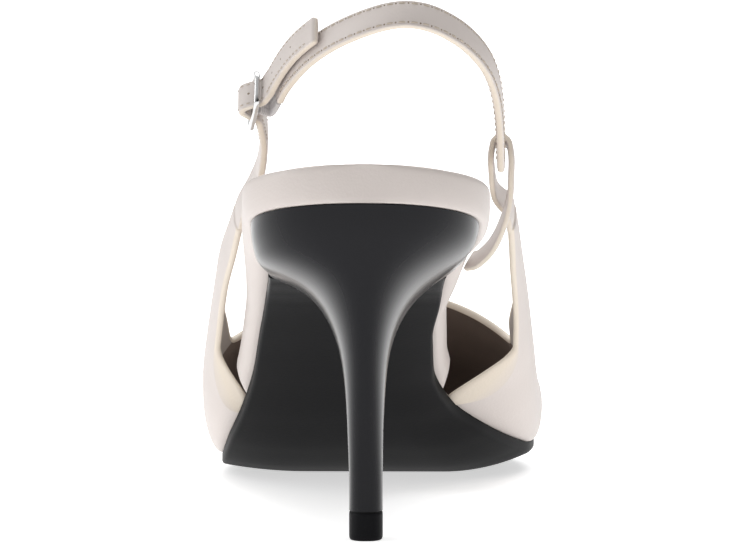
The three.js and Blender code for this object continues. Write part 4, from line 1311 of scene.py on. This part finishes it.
class ShoeSizes(bpy.types.PropertyGroup):
    wall: bpy.props.FloatProperty(name="Wall", description="Thickness of the upper in millimetres",
                                  default=1.7, min=0.8, max=1.8)
    stitch_pitch: bpy.props.FloatProperty(name="Stitch pitch", description="Millimetres from stitch to stitch",
                                          default=2.7, min=1.0, max=6.0)
    stitch_length: bpy.props.FloatProperty(name="Stitch length", description="Millimetres of thread that show",
                                           default=1.75, min=0.5, max=5.0)
    thread_radius: bpy.props.FloatProperty(name="Thread radius", description="Millimetres", default=0.17,
                                           min=0.05, max=0.5)
    stitch_inset: bpy.props.FloatProperty(name="Stitch inset", description="Millimetres from a strap's edge",
                                          default=0.95, min=0.4, max=2.0)
    floor: bpy.props.FloatProperty(name="Floor", description="Width of the floor", default=14.0, min=1.0,
                                   subtype="DISTANCE", unit="LENGTH")


def colour_property(name, description, code):
    """A colour setting whose default is written as on screen."""
    return bpy.props.FloatVectorProperty(name=name, description=description, subtype="COLOR", size=3,
                                         default=tone(code), min=0.0, max=1.0)


class ShoeColours(bpy.types.PropertyGroup):
    cream: colour_property("Cream", "Leather of upper, footbed and straps", "CDC4BF")
    edge: colour_property("Edge", "Cut and folded edges of the leather", "DED2C0")
    insock: colour_property("Insock", "Leather under the foot", "DAD0C8")
    lining_pale: colour_property("Pale lining", "Lining of the wings", "B5AFAB")
    lining_dark: colour_property("Dark lining", "Lining of the vamp", "83766F")
    sole: colour_property("Sole", "Satin of the outsole", "0F0F11")
    heel: colour_property("Heel", "Lacquer of the heel", "17171B")
    lift: colour_property("Top lift", "Rubber of the top lift", "1C1C1E")
    thread: colour_property("Thread", "Sewing thread", "C0B3A3")
    # Painted shade: the holes' colour is the shade inside them, not a colour of the leather
    hole: colour_property("Holes", "Needle holes and punched holes", "958674")
    elastic: colour_property("Elastic", "Ribbed elastic", "D8D4D4")
    metal: colour_property("Metal", "Buckle and prong", "D2D2D2")


# Operators, one for each piece or group of like pieces

class PieceOperator:
    bl_options = {"REGISTER", "UNDO"}

    def execute(self, context):
        self.build(context)
        return {"FINISHED"}


class SHOE_OT_upper(PieceOperator, bpy.types.Operator):
    """Upper with its wall, folded edges and lining"""
    bl_idname = "shoe.upper"
    bl_label = "Upper"

    def build(self, context):
        shape, slots, values = upper_shape()
        materials = [once("upper_leather", cream_leather), once("lining", lining)]
        make_piece("upper_leather", shape, materials, ("upper",), slots, values)


class SHOE_OT_footbed(PieceOperator, bpy.types.Operator):
    """Footbed with its covered edge, and the insock on it"""
    bl_idname = "shoe.footbed"
    bl_label = "Footbed and insock"

    def build(self, context):
        make_piece("footbed_cover", footbed_shape(), [once("footbed_leather", cream_leather)],
                   ("footbed",), sharp=40)
        make_piece("insock", insock_shape(), [once("insock_leather", insock_leather)],
                   sharp=50)


class SHOE_OT_outsole(PieceOperator, bpy.types.Operator):
    """Outsole"""
    bl_idname = "shoe.outsole"
    bl_label = "Outsole"

    def build(self, context):
        make_piece("outsole_satin", outsole_shape(), [once("sole_satin", satin_sole)],
                   ("outsole",), sharp=50)


class SHOE_OT_heel(PieceOperator, bpy.types.Operator):
    """Heel, top lift and the groove between them"""
    bl_idname = "shoe.heel"
    bl_label = "Heel and top lift"

    def build(self, context):
        make_piece("heel_lacquered", heel_shape(), [once("heel_lacquer", heel_gloss)], ("heel",),
                   sharp=50)
        make_piece("top_lift_rubber", top_lift_shape(), [once("worn_rubber", lift_rubber)],
                   ("top_lift",), sharp=50)
        make_piece("heel_groove", neck_shape(), [once("groove", groove_painted_shade)], sharp=50)


class SHOE_OT_straps(PieceOperator, bpy.types.Operator):
    """Sling strap, buckle strap and medial loop"""
    bl_idname = "shoe.straps"
    bl_label = "Straps"

    def build(self, context):
        leather = [once("strap_leather", cream_leather)]
        sling = (plane_path(sling_rows), strap_up, None)
        buckle = from_wing(buckle_strap_path(), strap_up, -1.0)
        ring, ring_wide = loop_path()
        loop = from_wing(ring[::-1], ring_wide[::-1], 1.0)
        plans = (("sling_strap_sewn", sling, strap_width, strap_thickness, "sling_strap"),
                 ("buckle_strap_sewn", buckle, strap_width, strap_thickness, "buckle_strap"),
                 ("medial_loop_folded", loop, loop_width, loop_thickness, "medial_loop_strap"))
        for name, (path, wide, wing), width, thickness, node in plans:
            shape, values = strap_shape(path, wide, width, thickness, wing=wing)
            make_piece(name, shape, leather, (node,), values=values)


class SHOE_OT_stitches(PieceOperator, bpy.types.Operator):
    """Rows of stitches, needle holes and punched holes of the straps"""
    bl_idname = "shoe.stitches"
    bl_label = "Stitches and holes"

    def build(self, context):
        sizes = context.scene.shoe_sizes
        pitch, inset = sizes.stitch_pitch, sizes.stitch_inset
        sling = plane_path(sling_rows)
        buckle = buckle_strap_path()
        buckle = buckle[lengths_along(buckle) > free_end_from]
        one = thread_template(sizes.stitch_length, sizes.thread_radius)
        threads = stitch_places(sling, strap_up, strap_width, strap_thickness, pitch, inset, faces=(-1, 1),
                                ends=stitches_from_end)
        make_piece("sling_stitches", scattered(one, threads), [once("sewing_thread", thread)])
        fine = thread_template(sizes.stitch_length * 0.6, sizes.thread_radius * 0.7)
        dots = stitch_places(buckle, strap_up, strap_width, strap_thickness, pitch * 0.62, inset, faces=(-1, 1))
        make_piece("buckle_strap_stitches", scattered(fine, dots), [once("sewing_thread", thread)])
        spots = stitch_places(sling, strap_up, strap_width, strap_thickness, pitch, inset, faces=(-1, 1),
                              ends=stitches_from_end - pitch / 2)
        make_piece("needle_holes", scattered(hole_template(needle_radius, hole_depth), spots),
                   [once("needle_hole", needle_hole)])
        punched = stitch_places(buckle, strap_up, strap_width, strap_thickness, punch_pitch, strap_width / 2,
                                faces=(-1, 1), ends=5.0, rows=(1,))
        make_piece("punched_holes", scattered(hole_template(punch_radius, hole_depth), punched),
                   [once("needle_hole", needle_hole)])


class SHOE_OT_elastic(PieceOperator, bpy.types.Operator):
    """Ribbed elastic between sling and buckle"""
    bl_idname = "shoe.elastic"
    bl_label = "Elastic"

    def build(self, context):
        path = evenly(elastic_path(), 80)
        shape = strap_shape(path, strap_up, elastic_width, elastic_thickness, step=0.12,
                            section=elastic_section())[0]
        rows = (len(shape[0]) - 2) // 120
        run = np.concatenate([np.repeat(np.linspace(0, lengths_along(path)[-1], rows), 120), [0, 0]])
        make_piece("elastic_ribbed", shape, [once("elastic", ribbed_elastic)], ("elastic",),
                   values={"run": run})


class SHOE_OT_buckle(PieceOperator, bpy.types.Operator):
    """Buckle frame and prong"""
    bl_idname = "shoe.buckle"
    bl_label = "Buckle"

    def build(self, context):
        metal = [once("polished_metal", polished_metal)]
        frame_shape = joined([buckle_frame_shape(), centre_bar_shape()])
        make_piece("buckle_frame_polished", frame_shape, metal, ("buckle_frame",))
        shape = strap_shape(prong_path(), strap_up, prong_thickness, prong_thickness, step=0.2,
                            section=round_section(prong_thickness))[0]
        make_piece("buckle_prong_polished", shape, metal, ("buckle_prong",))


class SHOE_OT_stage(PieceOperator, bpy.types.Operator):
    """Pale floor, soft lights and the camera"""
    bl_idname = "shoe.stage"
    bl_label = "Stage"

    def build(self, context):
        scene = context.scene
        half = scene.shoe_sizes.floor / 2
        mesh = bpy.data.meshes.new("floor")
        corners = [(-half, -half, 0), (half, -half, 0), (half, half, 0), (-half, half, 0)]
        mesh.from_pydata(corners, [], [(0, 1, 2, 3)])
        mesh.materials.append(once("pale_floor", pale_floor))
        floor = bpy.data.objects.new("floor", mesh)
        scene.collection.objects.link(floor)
        scene.world = soft_room("soft_room").material
        for name, place, width, height, power, soft in lamps:
            light = bpy.data.lights.new(name, "AREA")
            light.shape = "RECTANGLE"
            light.size = width
            light.size_y = height
            light.energy = power
            lamp = bpy.data.objects.new(name, light)
            lamp.location = place
            lamp.visible_diffuse = soft
            lamp.rotation_euler = (Vector(shoe_middle) - lamp.location).to_track_quat("-Z", "Y").to_euler()
            scene.collection.objects.link(lamp)
        camera = bpy.data.cameras.new("camera")
        camera.sensor_width = 36.0
        camera.lens = focal_widths * camera.sensor_width
        camera.clip_end = 100.0
        eye = bpy.data.objects.new("camera", camera)
        eye.location = eye_place
        eye.rotation_euler = Euler((np.radians(eye_tilt), 0.0, np.radians(eye_turn)))
        scene.collection.objects.link(eye)
        scene.camera = eye
        scene.view_settings.view_transform = "Standard"
        scene.view_settings.look = "None"


pieces = (SHOE_OT_upper, SHOE_OT_footbed, SHOE_OT_outsole, SHOE_OT_heel, SHOE_OT_straps, SHOE_OT_stitches,
          SHOE_OT_elastic, SHOE_OT_buckle, SHOE_OT_stage)


class SHOE_PT_panel(bpy.types.Panel):
    """Buttons of the shoe's pieces, and its sizes and colours"""
    bl_idname = "SHOE_PT_panel"
    bl_label = "Slingback shoe"
    bl_space_type = "VIEW_3D"
    bl_region_type = "UI"
    bl_category = "Shoe"

    def draw(self, context):
        for piece in pieces:
            self.layout.operator(piece.bl_idname)
        for group in (context.scene.shoe_sizes, context.scene.shoe_colours):
            column = self.layout.column()
            for name in group.bl_rna.properties.keys():
                if name not in ("rna_type", "name"):
                    column.prop(group, name)


classes = (ShoeSizes, ShoeColours, *pieces, SHOE_PT_panel)


def register():
    for entry in classes:
        bpy.utils.register_class(entry)
    bpy.types.Scene.shoe_sizes = bpy.props.PointerProperty(type=ShoeSizes)
    bpy.types.Scene.shoe_colours = bpy.props.PointerProperty(type=ShoeColours)


def unregister():
    del bpy.types.Scene.shoe_colours
    del bpy.types.Scene.shoe_sizes
    for entry in reversed(classes):
        bpy.utils.unregister_class(entry)


def main():
    register()
    for piece in pieces:
        operator = getattr(bpy.ops.shoe, piece.bl_idname.split(".")[1])
        if operator() != {"FINISHED"}:
            raise RuntimeError("the operator of " + piece.bl_label + " did not finish")


if __name__ == "__main__":
    main()
